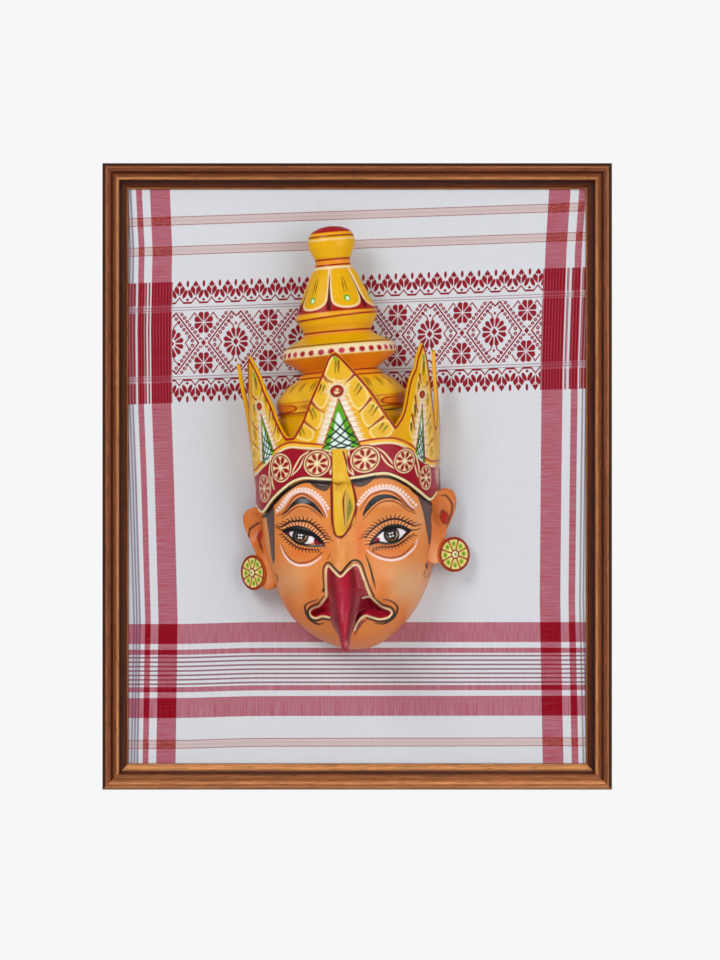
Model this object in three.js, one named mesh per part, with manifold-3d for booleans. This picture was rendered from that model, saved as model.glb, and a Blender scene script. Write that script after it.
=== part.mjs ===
// A painted bird-man mask from Majuli, hung on a woven gamosa cloth in a moulded wooden frame.
// Millimetres, +Z up. The wall is the plane y = 0 and the front looks along -Y.
// The origin is on the back of the top rail, at its middle, where the frame hangs.

import * as THREE from "three";
import { mergeVertices } from "three/addons/utils/BufferGeometryUtils.js";
import Module from "manifold-3d";

const wasm = await Module();
wasm.setup();

// Frame, board and cloth
const frameWidth = 610;
const frameHeight = 750;
const railWidth = 31.2;
const hangDrop = 15.5; // from the frame's top edge down to the hanging point
const rebateWidth = 7;
const rebateDepth = 9;
const fitGap = 0.3; // left between pieces that touch
const clothWidth = 557;
const clothThickness = 0.7;
const turnedMargin = 28; // cloth folded behind the board at the top and the bottom
const boardSideRoom = 1;

// Mask. It is drawn upright: x across, z up from the middle of the face, depth out from the cloth.
const maskAxis = { x: -2, z: -458.6 }; // where that middle hangs
const maskScale = 0.987; // from the drawing to the real mask
const faceMiddle = { x: -14.4, z: -458.6 }; // the painted face sits left of the axis
const roll = THREE.MathUtils.degToRad(4); // the top leans left
const leanFace = 0.165; // sideways turn of the face, per unit of depth
const leanCrown = 0.05;
const chinDrop = 109.5;
const cheekHeight = 36; // where the egg of the lower face begins
const browTop = 88;
const cheekHalfWidth = 102.6;
const cheekDepth = 106;
const wallThickness = 6;
const sideShare = 0.22; // share of the depth that runs straight back to the cloth
const roundness = 2.2; // 2 is an ellipse, more is squarer

// Height, half width and depth of the head from the cheeks to its flat top
const headSections = [
  [cheekHeight, cheekHalfWidth, cheekDepth],
  [72, 104.6, 110],
  [105, 104.6, 112],
  [144, 97, 110],
  [176, 84, 104],
];

// Soft forms of the face: across and up from its middle, half width, half height, rise
const faceForms = [
  { name: "left socket", at: [-53, 33], size: [31, 21], rise: -8 },
  { name: "right socket", at: [55, 34], size: [31, 21], rise: -8 },
  { name: "left eyeball", at: [-53, 29], size: [21, 13], rise: 10 },
  { name: "right eyeball", at: [55, 30], size: [21, 13], rise: 10 },
  { name: "left brow", at: [-53, 64], size: [30, 10], rise: 4 },
  { name: "right brow", at: [55, 66], size: [30, 10], rise: 4 },
  { name: "nose bridge", at: [-5, 8], size: [15, 36], rise: 9 },
  { name: "muzzle", at: [0, -46], size: [46, 30], rise: 8 },
  { name: "left cheek", at: [-58, -24], size: [22, 18], rise: 4 },
  { name: "right cheek", at: [60, -22], size: [22, 18], rise: 4 },
  { name: "left mouth corner", at: [-31, -59], size: [11, 8], rise: -15 },
  { name: "right mouth corner", at: [36, -57], size: [19, 10], rise: -15 },
  { name: "left lip", at: [-45, -60], size: [8, 12], rise: 4 },
  { name: "right lip", at: [60, -58], size: [8, 12], rise: 4 },
  { name: "chin", at: [3, -90], size: [22, 12], rise: 4 },
];

// Beak, from its root to its tip: up from the face's middle, centre, half width, ridge and back depth
const beakSections = [
  [4, -5, 8, 112, 98],
  [-12, -5, 17, 119, 98],
  [-26, 0.5, 24, 128, 97],
  [-36, 1.5, 23, 134, 95.5],
  [-44, 0.5, 20, 139, 95],
  [-53, -0.4, 19, 143.5, 94],
  [-60, -1.2, 17.6, 146.5, 95.5],
  [-73, -1, 12.8, 149.5, 105],
  [-86, -0.4, 8, 148.5, 120],
  [-101, 0.5, 4, 142, 131],
  [-107.5, 0.5, 1.2, 137, 134],
];
const lowerBeakSections = [
  [-56, 5, 20, 118, 92],
  [-66, 5, 17, 120, 92],
  [-76, 6, 12, 121, 98],
  [-86, 7, 6, 119, 106],
  [-91, 7.5, 1.6, 116, 112],
];

// Ears and earrings, each in a plane turned away from the face
const earTurn = THREE.MathUtils.degToRad(38);
const earRoot = { across: 97, depth: 44 };
const earThickness = 6;
const earOutline = [
  [-8, 58], [6, 66], [18, 71], [29, 68], [36, 58], [35, 46], [30, 34],
  [26, 22], [22, 8], [17, -6], [8, -10], [-2, -4], [-8, 6],
];
const earBowl = { across: 17, up: 46, halfWidth: 10, halfHeight: 17, halfDepth: 5 };
const earringRadius = 21.3;
const earringPlace = { across: 30, up: -4 };

// Crown collar: a band that wraps the forehead and stands up in five pointed leaves
const collarThickness = 4.5;
const collarHalfWidth = 105.4;
const collarDepth = 113;
const collarFoot = 95; // height at which those two sizes are taken
const collarFlare = 0.075;
const valleyHeight = 152;
// Each leaf's valleys and tip as places round the collar from -1 to 1, and the height of its tip
const leaves = [
  { name: "rear left", from: -0.975, at: -0.855, to: -0.745, tip: 247 },
  { name: "left", from: -0.745, at: -0.56, to: -0.285, tip: 253 },
  { name: "middle", from: -0.285, at: 0, to: 0.325, tip: 250 },
  { name: "right", from: 0.325, at: 0.53, to: 0.745, tip: 254 },
  { name: "rear right", from: 0.745, at: 0.855, to: 0.975, tip: 247 },
];
// How far a leaf's edge has fallen from its tip to its valley: share of the way across and of the drop
const leafFall = [[0, 0], [0.1, 0.07], [0.24, 0.235], [0.48, 0.54], [0.7, 0.8], [0.88, 0.97], [1, 1]];
// Lower edge of the collar: place round it and height
const collarHem = [[0, 98.5], [0.22, 106], [0.34, 100], [0.5, 82], [0.64, 64], [0.7, 73], [1, 74]];

// Raised strip that comes from under the middle leaf down to between the brows
const stripHalfWidth = 8.4;
const stripRise = 3.4;
const stripTop = 134;
const stripCrease = 96.5;
const stripFoot = 29;
const stripOffset = -5.5; // the strip's middle, across from the face's middle

// Crown tower, turned round an axis in front of the cloth: height and radius
const towerAxisDepth = 46;
const towerDepthShare = 0.82; // it is a little flattened from front to back
const towerProfile = [
  [176.4, 0], [176.4, 72], [181, 78.5], [186, 77], [190, 79], [197, 78.5], [201, 75.5],
  [212, 66], [221, 54.5], [224, 51], [227, 50], [230, 45], [233, 46],
  [240, 55], [247, 64.5], [250, 68], [254, 69], [261, 66.5], [265, 61],
  [270, 51], [275, 42], [278, 40], [284, 41], [290, 45.5], [295, 48.5], [299, 47.5],
  [306, 44.5], [325, 36.5], [342, 28.5], [352, 22.5], [357, 20.8], [363, 21.2],
  [369, 24], [377, 27.6], [385, 28.4], [391, 26.6], [396, 22], [400, 13], [402, 0],
];

// Fineness of the meshes
const faceColumns = 48;
const faceRows = 31; // from the chin to the brow
const hiddenRows = 3; // from the brow to the top, under the collar
const earPoints = 22;
const hollowColumns = 18;
const hollowRows = 12;
const leafColumns = 5; // on each side of its tip
const collarRows = 5;
const towerSides = 24;
const earringSides = 20;

const sightBack = -rebateDepth;
const clothFront = sightBack + fitGap;
const maskBack = clothFront - fitGap;
const frameTop = hangDrop;
const frameBottom = hangDrop - frameHeight;

const clothMaterial = paint(0xdcdfe3, 0.9);
const boardMaterial = paint(0xb9946a, 0.8);
const railMaterial = paint(0x6b3418, 0.45);
const skinMaterial = paint(0xd98a48, 0.5);
const crownMaterial = paint(0xe2aa1c, 0.5);

function paint(color, roughness) {
  return new THREE.MeshStandardMaterial({ color, roughness, metalness: 0 });
}

function smooth(t) {
  const s = THREE.MathUtils.clamp(t, 0, 1);
  return s * s * (3 - 2 * s);
}

function table(rows, key, column) {
  // Straight reading between the rows of a small table whose first column rises or falls
  const up = rows[rows.length - 1][0] > rows[0][0];
  const ordered = up ? rows : [...rows].reverse();
  const k = THREE.MathUtils.clamp(key, ordered[0][0], ordered[ordered.length - 1][0]);
  const i = Math.max(1, ordered.findIndex((row) => row[0] >= k));
  const [low, high] = [ordered[i - 1], ordered[i]];
  return THREE.MathUtils.mapLinear(k, low[0], high[0], low[column], high[column]);
}

function solid(geometry) {
  // A closed geometry as a solid that can be joined and cut
  const bare = geometry.clone();
  bare.deleteAttribute("normal");
  bare.deleteAttribute("uv");
  const welded = mergeVertices(bare, 1e-4);
  const mesh = new wasm.Mesh({
    numProp: 3,
    vertProperties: new Float32Array(welded.attributes.position.array),
    triVerts: new Uint32Array(welded.index.array),
  });
  return new wasm.Manifold(mesh);
}

function surface(body) {
  const mesh = body.getMesh();
  const geometry = new THREE.BufferGeometry();
  geometry.setAttribute("position", new THREE.BufferAttribute(mesh.vertProperties, 3));
  geometry.setIndex(new THREE.BufferAttribute(mesh.triVerts, 1));
  geometry.computeVertexNormals();
  return geometry;
}

function bend(geometry, move) {
  // Moves every vertex by a function of its place
  const position = geometry.attributes.position;
  const point = new THREE.Vector3();
  for (let i = 0; i < position.count; i++) {
    move(point.fromBufferAttribute(position, i));
    position.setXYZ(i, point.x, point.y, point.z);
  }
  geometry.computeVertexNormals();
  return geometry;
}

function loft(rings) {
  // Closed body through rings of equal count, with a flat fan at each end
  const count = rings[0].length;
  const points = rings.flat();
  const index = [];
  for (let r = 0; r + 1 < rings.length; r++) {
    for (let c = 0; c < count; c++) {
      const a = r * count + c;
      const b = r * count + (c + 1) % count;
      index.push(a, b, b + count, a, b + count, a + count);
    }
  }
  for (const [ring, start, turn] of [[rings[0], 0, 1], [rings.at(-1), points.length - count, 0]]) {
    const middle = ring.reduce((sum, p) => sum.add(p), new THREE.Vector3()).divideScalar(count);
    const hub = points.push(middle) - 1;
    for (let c = 0; c < count; c++) {
      const pair = [start + c, start + (c + 1) % count];
      index.push(hub, pair[turn], pair[1 - turn]);
    }
  }
  const geometry = new THREE.BufferGeometry().setFromPoints(points);
  geometry.setIndex(index);
  return geometry;
}

function lean(z) {
  return THREE.MathUtils.lerp(leanFace, leanCrown, smooth((z - 20) / 230));
}

function hang(point) {
  // From the mask's upright drawing to its place on the cloth
  const { x, y, z } = point;
  point.x = x * Math.cos(roll) - z * Math.sin(roll) + lean(z) * y;
  point.z = x * Math.sin(roll) + z * Math.cos(roll);
  point.multiplyScalar(maskScale);
  point.x += maskAxis.x;
  point.y += maskBack;
  point.z += maskAxis.z;
  return point;
}

function headSize(z) {
  // Half width and depth of the head at a height
  if (z < cheekHeight) {
    const t = Math.min(1, (cheekHeight - z) / (cheekHeight + chinDrop));
    return [
      cheekHalfWidth * (1 - t ** 1.8) ** (1 / 1.8),
      cheekDepth * (1 - t ** 3) ** (1 / 3),
    ];
  }
  return [table(headSections, z, 1), table(headSections, z, 2)];
}

function plan(u, halfWidth, depth, start = 0) {
  // Place round a U-shaped section: u runs from -1 on the left through 0 in front to 1
  const side = sideShare * depth;
  const bendEnd = 0.84;
  const around = Math.min(1, Math.abs(u) / bendEnd) * Math.PI / 2;
  const back = Math.max(0, (Math.abs(u) - bendEnd) / (1 - bendEnd));
  const x = Math.sign(u) * halfWidth * Math.sin(around) ** (2 / roundness);
  const bow = (depth - side) * Math.max(0, Math.cos(around)) ** (2 / roundness);
  const y = side + bow - back * (side - start);
  return [x, -y];
}

function faceForm(x, z) {
  // How far the soft forms of the face stand out at a place of the picture plane
  let rise = 0;
  for (const form of faceForms) {
    const across = ((x - faceMiddle.x) / maskScale - form.at[0]) / form.size[0];
    const up = ((z - faceMiddle.z) / maskScale - form.at[1]) / form.size[1];
    rise += form.rise * Math.exp(-1.6 * (across * across + up * up));
  }
  return rise;
}

function head(columns, rows, inset, start) {
  // The head as a closed body, made smaller by an inset for its hollow
  const low = -chinDrop + 0.4;
  const high = headSections.at(-1)[0];
  const rings = [];
  for (let r = 0; r <= rows + hiddenRows; r++) {
    const lower = THREE.MathUtils.lerp(low, browTop, (r / rows) ** 1.25);
    const level = r <= rows ? lower : THREE.MathUtils.lerp(browTop, high, (r - rows) / hiddenRows);
    const z = THREE.MathUtils.mapLinear(level, low, high, low + inset, high - inset);
    const [halfWidth, depth] = headSize(level);
    const ring = [];
    for (let c = 0; c <= columns; c++) {
      const u = (2 * c) / columns - 1;
      const [x, y] = plan(u, Math.max(1, halfWidth - inset), Math.max(2, depth - inset), start);
      const point = hang(new THREE.Vector3(x, y, z));
      const front = smooth(1.4 - Math.abs(u) * 1.6);
      point.y -= front * faceForm(point.x, point.z);
      ring.push(point);
    }
    rings.push(ring);
  }
  return loft(rings);
}

function onFace(across, up, depth) {
  // A place of the picture plane, in the drawing's sizes from the face's middle
  const point = new THREE.Vector3(across, -depth, up).multiplyScalar(maskScale);
  return point.add(new THREE.Vector3(faceMiddle.x, maskBack, faceMiddle.z));
}

function beak(sections, sides = 14) {
  // A hooked horn whose front is rounded to a ridge and whose back is flat
  const rings = [...sections].reverse().map(([up, centre, half, ridge, back]) => {
    const ring = [];
    for (let i = 0; i < sides; i++) {
      const angle = Math.PI - (i / (sides - 1)) * Math.PI;
      const depth = back + (ridge - back) * Math.max(0, Math.sin(angle)) ** 0.8;
      ring.push(onFace(centre + half * Math.cos(angle), up, depth));
    }
    return ring;
  });
  return loft(rings);
}

function earPlane(side) {
  // Places a point of the ear's own plane: x outward, y up, z out of the plane
  return (point) => {
    const { x, y, z } = point;
    const out = Math.abs(x) < 1e-9 ? 0 : x * side;
    const across = earRoot.across + out * Math.cos(earTurn) + z * Math.sin(earTurn);
    const depth = earRoot.depth - out * Math.sin(earTurn) + z * Math.cos(earTurn);
    return hang(point.set(side * across, -depth, y));
  };
}

function ear(side) {
  const outline = earOutline.map(([out, up]) => new THREE.Vector2(side * out, up));
  const curve = new THREE.SplineCurve([...outline, outline[0]]);
  const shape = new THREE.Shape(curve.getPoints(earPoints).slice(0, -1));
  const bevel = 2;
  const plate = new THREE.ExtrudeGeometry(shape, {
    depth: earThickness - 2 * bevel,
    bevelThickness: bevel,
    bevelSize: bevel,
    bevelOffset: -bevel,
    bevelSegments: 1,
  });
  plate.translate(0, 0, -earThickness + bevel);
  const bowl = new THREE.SphereGeometry(1, 12, 8);
  bowl.scale(earBowl.halfWidth, earBowl.halfHeight, earBowl.halfDepth);
  bowl.translate(side * earBowl.across, earBowl.up, 0.5);
  const hollowed = solid(plate).subtract(solid(bowl));
  return solid(bend(surface(hollowed), earPlane(side)));
}

function maskFace() {
  // Face, ears and beak are one moulded shell, open at the back
  const shell = solid(head(faceColumns, faceRows, 0, 0))
    .add(ear(-1))
    .add(ear(1))
    .add(solid(beak(beakSections)))
    .add(solid(beak(lowerBeakSections, 10)))
    .add(solid(strip(stripFoot, stripCrease - 0.5, (z) => headSize(z)[1])));
  const hollow = solid(head(hollowColumns, hollowRows, wallThickness, -2));
  return surface(shell.subtract(hollow));
}

function strip(low, high, depthAt) {
  // The raised strip, laid on the forehead or on the collar's band
  const rows = 12;
  const rings = [];
  for (let r = 0; r <= rows; r++) {
    const z = THREE.MathUtils.lerp(low, high, r / rows);
    const tip = Math.min(1, Math.sqrt(Math.max(0.02, (z - stripFoot) / 9)));
    const half = stripHalfWidth * tip;
    const ring = [];
    for (const [across, out] of [[-1, -1], [-1, 0.6], [-0.55, 1], [0.55, 1], [1, 0.6], [1, -1]]) {
      const point = onFace(stripOffset + across * half, z, depthAt(z) + out * stripRise);
      point.y -= faceForm(point.x, point.z);
      ring.push(point);
    }
    rings.push(ring);
  }
  return loft(rings);
}

function collarSize(z) {
  const flare = collarFlare * (z - collarFoot);
  return [collarHalfWidth + Math.max(0, flare), collarDepth + Math.max(0, flare)];
}

function leafTop(u) {
  // Height of the collar's upper edge at a place round it
  const leaf = leaves.find((one) => u <= one.to) ?? leaves.at(-1);
  const side = u < leaf.at ? leaf.at - leaf.from : leaf.to - leaf.at;
  const t = Math.min(1, Math.abs(u - leaf.at) / side);
  return THREE.MathUtils.lerp(leaf.tip, valleyHeight, table(leafFall, t, 1));
}

function collarPlaces() {
  // Places round the collar, so that each leaf has a column at its tip and at its valleys
  const marks = [leaves[0].from];
  for (const { from, at, to } of leaves) {
    for (const [start, end] of [[from, at], [at, to]]) {
      for (let i = 1; i <= leafColumns; i++) marks.push(THREE.MathUtils.lerp(start, end, i / leafColumns));
    }
  }
  return marks;
}

function crownCollar() {
  // Each column is a closed loop: up the outer face and down the inner face
  const rings = collarPlaces().map((u) => {
    const low = table(collarHem, Math.abs(u), 1);
    const high = leafTop(u);
    const outer = [];
    const inner = [];
    for (let r = 0; r <= collarRows; r++) {
      const z = THREE.MathUtils.lerp(low, high, r / collarRows);
      const [halfWidth, depth] = collarSize(z);
      const [x, y] = plan(u, halfWidth, depth);
      const [xo, yo] = plan(u, halfWidth + collarThickness, depth + collarThickness);
      inner.push(hang(new THREE.Vector3(x, y, z)));
      outer.push(hang(new THREE.Vector3(xo, yo, z)));
    }
    return [...inner, ...outer.reverse()];
  });
  const overBand = strip(stripCrease, stripTop, (z) => collarSize(z)[1] + collarThickness);
  return surface(solid(loft(rings)).add(solid(overBand)));
}

function crownTower() {
  const profile = towerProfile.map(([height, radius]) => new THREE.Vector2(radius, height));
  const turned = new THREE.LatheGeometry(profile, towerSides);
  turned.rotateX(Math.PI / 2);
  turned.scale(1, towerDepthShare, 1);
  turned.translate(0, -towerAxisDepth, 0);
  const block = new THREE.BoxGeometry(400, 300, 600);
  block.translate(0, maskBack - 150, 0);
  const whole = solid(bend(turned, hang));
  return surface(whole.intersect(solid(block.translate(maskAxis.x, 0, maskAxis.z + 300))));
}

function earring(side) {
  // A turned disc with a raised rim and boss
  const r = earringRadius;
  const profile = [
    [0, 0], [r - 1.2, 0], [r, 1.2], [r, 3.6], [r - 1.4, 4.8], [r - 3, 4],
    [r * 0.36, 3.6], [r * 0.3, 5], [r * 0.12, 6], [0, 6.2],
  ];
  const disc = new THREE.LatheGeometry(profile.map(([x, y]) => new THREE.Vector2(x, y)), earringSides);
  disc.rotateX(Math.PI / 2);
  disc.translate(side * earringPlace.across, earringPlace.up, fitGap);
  return bend(disc, earPlane(side));
}

function railShape() {
  // Across from the outer edge, and out from the wall
  const shape = new THREE.Shape();
  const rebateStart = railWidth - rebateWidth;
  shape.moveTo(0, 0);
  shape.lineTo(0, 14);
  shape.quadraticCurveTo(0.2, 19, 3.4, 19.8);
  shape.quadraticCurveTo(4.8, 22.8, 6.4, 21.6);
  shape.lineTo(9.6, 20.6);
  shape.quadraticCurveTo(11, 17.4, 12.3, 20);
  shape.quadraticCurveTo(15.6, 26, 18.4, 23.6);
  shape.quadraticCurveTo(20, 24.4, 20.6, 21.4);
  shape.quadraticCurveTo(21.4, 15.4, 24, 15.2);
  shape.lineTo(28, 11.6);
  shape.quadraticCurveTo(29.8, 13.4, railWidth, 10.8);
  shape.lineTo(railWidth, rebateDepth);
  shape.lineTo(rebateStart, rebateDepth);
  shape.lineTo(rebateStart, 0);
  shape.closePath();
  return shape;
}

function rail(length) {
  // Extruded along z, then each end slid back by its place across to make the mitre
  const settings = { depth: length, bevelEnabled: false, curveSegments: 4 };
  const bar = new THREE.ExtrudeGeometry(railShape(), settings);
  return bend(bar, (point) => {
    const mitre = point.x + fitGap / 2;
    point.z = point.z < length / 2 ? mitre : length - mitre;
  });
}

function frameRails() {
  const out = new THREE.Vector3(0, -1, 0);
  const rails = [
    ["frame_top_rail", frameWidth, [0, 0, -1], [frameWidth / 2, 0, frameTop]],
    ["frame_right_rail", frameHeight, [-1, 0, 0], [frameWidth / 2, 0, frameBottom]],
    ["frame_bottom_rail", frameWidth, [0, 0, 1], [-frameWidth / 2, 0, frameBottom]],
    ["frame_left_rail", frameHeight, [1, 0, 0], [-frameWidth / 2, 0, frameTop]],
  ];
  return rails.map(([name, length, inward, corner]) => {
    const across = new THREE.Vector3(...inward);
    const along = new THREE.Vector3().crossVectors(across, out);
    const mesh = new THREE.Mesh(rail(length), railMaterial);
    mesh.name = name;
    mesh.quaternion.setFromRotationMatrix(new THREE.Matrix4().makeBasis(across, out, along));
    mesh.position.set(...corner);
    return mesh;
  });
}

function backing() {
  // Plywood board in the rebate, and the cloth that is stretched over it and turned behind it
  const rebateTop = frameTop - railWidth + rebateWidth;
  const rebateBottom = frameBottom + railWidth - rebateWidth;
  const top = rebateTop - boardSideRoom / 2;
  const bottom = rebateBottom + boardSideRoom / 2;
  const front = -clothFront;
  const skin = clothThickness;
  const boardFront = front - skin - fitGap;
  const boardBack = 2.7;
  const marginFront = boardBack - fitGap;
  const marginBack = marginFront - skin;

  const section = new THREE.Shape();
  const corners = [
    [front, bottom], [front, top], [marginBack, top], [marginBack, top - turnedMargin],
    [marginFront, top - turnedMargin], [marginFront, top - skin], [front - skin, top - skin],
    [front - skin, bottom + skin], [marginFront, bottom + skin], [marginFront, bottom + turnedMargin],
    [marginBack, bottom + turnedMargin], [marginBack, bottom],
  ];
  section.setFromPoints(corners.map(([out, z]) => new THREE.Vector2(-out, z)));
  const cloth = new THREE.ExtrudeGeometry(section, { depth: clothWidth, bevelEnabled: false });
  const [right, back, up] = [[1, 0, 0], [0, 1, 0], [0, 0, 1]].map((axis) => new THREE.Vector3(...axis));
  cloth.applyMatrix4(new THREE.Matrix4().makeBasis(back, up, right));
  cloth.translate(-clothWidth / 2, 0, 0);

  const boardWidth = frameWidth - 2 * (railWidth - rebateWidth) - 2 * boardSideRoom;
  const boardHeight = top - bottom - 2 * (skin + fitGap);
  const board = new THREE.BoxGeometry(boardWidth, boardFront - boardBack, boardHeight);
  board.translate(0, -(boardFront + boardBack) / 2, (top + bottom) / 2);
  return { cloth, board };
}

function named(name, geometry, material) {
  const mesh = new THREE.Mesh(geometry, material);
  mesh.name = name;
  return mesh;
}

const { cloth, board } = backing();
const group = new THREE.Group();
group.add(
  ...frameRails(),
  named("backing_board", board, boardMaterial),
  named("gamosa_cloth", cloth, clothMaterial),
  named("mask_face", maskFace(), skinMaterial),
  named("crown_collar", crownCollar(), crownMaterial),
  named("crown_tower", crownTower(), crownMaterial),
  named("earring_left", earring(-1), crownMaterial),
  named("earring_right", earring(1), crownMaterial),
);

export default group;
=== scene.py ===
import math

import bmesh
import bpy
import numpy as np
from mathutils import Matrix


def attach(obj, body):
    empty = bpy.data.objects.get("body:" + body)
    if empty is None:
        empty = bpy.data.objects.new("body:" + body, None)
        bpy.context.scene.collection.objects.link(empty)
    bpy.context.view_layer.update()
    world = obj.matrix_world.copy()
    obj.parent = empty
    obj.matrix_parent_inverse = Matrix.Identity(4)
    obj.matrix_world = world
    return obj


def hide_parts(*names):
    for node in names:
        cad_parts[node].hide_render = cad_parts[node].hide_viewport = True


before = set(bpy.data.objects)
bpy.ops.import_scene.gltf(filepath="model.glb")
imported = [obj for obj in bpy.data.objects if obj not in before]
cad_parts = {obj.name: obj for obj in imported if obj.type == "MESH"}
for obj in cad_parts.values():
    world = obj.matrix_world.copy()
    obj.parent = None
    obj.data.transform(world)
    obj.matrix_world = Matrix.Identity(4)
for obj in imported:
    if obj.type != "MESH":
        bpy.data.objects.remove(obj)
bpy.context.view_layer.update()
mm = 0.001

# The camera stands in front of the wall. One pixel of the photograph is 1.2 mm at the wall.
photo = {
    "height": 960, "width": 720, "pixel": 1.2, "distance": 6000, "across": 3.36, "up": -363.8, "sensor": 36,
}


def addCamera():
    data = bpy.data.cameras.new("camera")
    data.sensor_fit = "AUTO"
    data.sensor_width = photo["sensor"]
    data.lens = photo["sensor"] * photo["distance"] / (photo["height"] * photo["pixel"])
    data.clip_start, data.clip_end = 0.1, 40
    camera = bpy.data.objects.new("camera", data)
    camera.location = (photo["across"] * mm, -photo["distance"] * mm, photo["up"] * mm)
    camera.rotation_euler = (math.radians(90), 0, 0)
    bpy.context.collection.objects.link(camera)
    bpy.context.scene.camera = camera


def project(points):
    # Places in millimetres to pixels of the photograph
    near = photo["distance"] / (photo["distance"] + points[:, 1]) / photo["pixel"]
    x = photo["width"] / 2 + (points[:, 0] - photo["across"]) * near
    return x, photo["height"] / 2 - (points[:, 2] - photo["up"]) * near


addCamera()
print("camera ready")

# Colours, red green blue as a paint chart gives them
colours = {
    "black": (26, 20, 20), "cream": (240, 222, 172), "darkRed": (140, 25, 10), "yellow": (234, 174, 0),
    "deepYellow": (212, 142, 0), "orange": (204, 104, 0), "green": (92, 168, 26), "crimson": (156, 6, 34),
    "brown": (122, 62, 14), "skin": (230, 140, 66), "skinShade": (222, 106, 24), "skinPale": (226, 160, 116),
    "chin": (220, 124, 62), "ear": (216, 116, 48), "beak": (152, 6, 36), "beakBright": (174, 8, 46),
    "mauve": (122, 52, 58), "hair": (94, 76, 74), "tilak": (232, 180, 44), "softWhite": (250, 232, 220),
    "net": (16, 44, 34),
}


def linear(colour):
    value = np.array(colours.get(colour, colour), float) / 255
    return np.where(value <= 0.04045, value / 12.92, ((value + 0.055) / 1.055) ** 2.4)


def smooth(t):
    t = np.clip(t, 0, 1)
    return t * t * (3 - 2 * t)


def bell(*shares):
    # A soft hill, 1 in its middle
    return np.exp(-sum(share**2 for share in shares))


def lengths(points):
    # Length of a line from its start to each of its points
    return np.concatenate([[0], np.cumsum(np.hypot(*np.diff(points, axis=0).T))])


def spokes(count, shift=0.0):
    # Directions spread evenly round a circle
    turn = math.tau * (np.arange(count) + shift) / count
    return np.column_stack([np.cos(turn), np.sin(turn)])


def curve(points, closed=False, steps=6):
    # A round line through given points
    p = np.array(points, float)
    if len(p) < 3:
        return p
    around = np.vstack([p[-1:], p, p[:2]] if closed else [2 * p[0] - p[1], p, 2 * p[-1] - p[-2]])
    t = np.linspace(0, 1, steps, endpoint=False)[:, None]
    parts = []
    for a, b, c, d in zip(around, around[1:], around[2:], around[3:]):
        bend, swing = 2 * a - 5 * b + 4 * c - d, 3 * b - a - 3 * c + d
        parts.append(0.5 * (2 * b + (c - a) * t + bend * t**2 + swing * t**3))
    return np.vstack(parts if closed else parts + [p[-1:]])


# Colour and gloss for each vertex of a piece, laid on in flat coordinates
class Paint:
    def __init__(self, x, y, base, soft=0.7, gloss=0.35):
        self.x, self.y, self.soft = np.asarray(x, float), np.asarray(y, float), soft
        self.colour = np.tile(linear(base), (len(self.x), 1))
        self.gloss = np.full(len(self.x), gloss)

    def near(self, points, reach):
        low, high = points.min(0) - reach, points.max(0) + reach
        inside = (self.x > low[0]) & (self.x < high[0]) & (self.y > low[1]) & (self.y < high[1])
        return np.nonzero(inside)[0]

    def lay(self, index, cover, colour, gloss=None):
        cover = np.clip(cover, 0, 1)[:, None]
        self.colour[index] += (linear(colour) - self.colour[index]) * cover
        if gloss is not None:
            self.gloss[index] += (gloss - self.gloss[index]) * cover[:, 0]

    def distance(self, index, line, closed=False):
        # Distance to a line of points, and how far along it
        ends = np.roll(line, -1, 0) if closed else line[1:]
        starts = line if closed else line[:-1]
        span = ends - starts
        gap = np.stack([self.x[index], self.y[index]], 1)[:, None] - starts
        t = np.clip((gap * span).sum(2) / np.maximum((span**2).sum(1), 1e-9), 0, 1)
        squared = ((gap - t[..., None] * span) ** 2).sum(2)
        best, rows = squared.argmin(1), np.arange(len(index))
        return np.sqrt(squared[rows, best]), (best + t[rows, best]) / len(starts)

    def signed(self, index, line):
        # Distance to a closed outline, above zero inside it
        away, _ = self.distance(index, line, True)
        x, y = self.x[index][:, None], self.y[index][:, None]
        a, b = line, np.roll(line, -1, 0)
        rise = np.where(np.abs(b[:, 1] - a[:, 1]) < 1e-9, 1e-9, b[:, 1] - a[:, 1])
        crosses = ((a[:, 1] > y) != (b[:, 1] > y)) & (x < a[:, 0] + (y - a[:, 1]) * (b[:, 0] - a[:, 0]) / rise)
        return np.where(crosses.sum(1) % 2 == 1, away, -away)

    def stroke(self, points, width, colour, gloss=None, closed=False, rounded=True, edge=None):
        line = curve(points, closed) if rounded else np.array(points, float)
        edge = edge or self.soft
        widths = np.atleast_1d(width).astype(float)
        index = self.near(line, widths.max() / 2 + edge)
        if not len(index):
            return
        away, along = self.distance(index, line, closed)
        wide = np.interp(along, np.linspace(0, 1, len(widths)), widths) if len(widths) > 1 else widths[0]
        # A line thinner than the mesh is laid as a paler wide one
        drawn = np.maximum(wide, edge)
        self.lay(index, ((drawn / 2 - away) / edge + 0.5) * np.minimum(1, wide / edge), colour, gloss)

    def strokes(self, rows):
        for points, width, colour in rows:
            self.stroke(points, width, colour)

    def fill(self, points, colour, gloss=None, edge=None, rounded=True):
        line = curve(points, True) if rounded else np.array(points, float)
        edge = edge or self.soft
        index = self.near(line, edge)
        if len(index):
            self.lay(index, self.signed(index, line) / edge + 0.5, colour, gloss)

    def dot(self, x, y, across, up, colour, gloss=None):
        index = self.near(np.array([[x, y]], float), max(across, up) + self.soft)
        size = np.hypot((self.x[index] - x) / across, (self.y[index] - y) / up)
        self.lay(index, (1 - size) * min(across, up) / self.soft + 0.5, colour, gloss)

    def glow(self, x, y, across, up, colour, strength):
        index = self.near(np.array([[x, y]], float), 2.5 * max(across, up))
        self.lay(index, strength * bell((self.x[index] - x) / across, (self.y[index] - y) / up), colour)

    def glows(self, rows):
        for row in rows:
            self.glow(*row)


def pointsOf(mesh):
    at = np.empty(len(mesh.vertices) * 3)
    mesh.vertices.foreach_get("co", at)
    return at.reshape(-1, 3)


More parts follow.
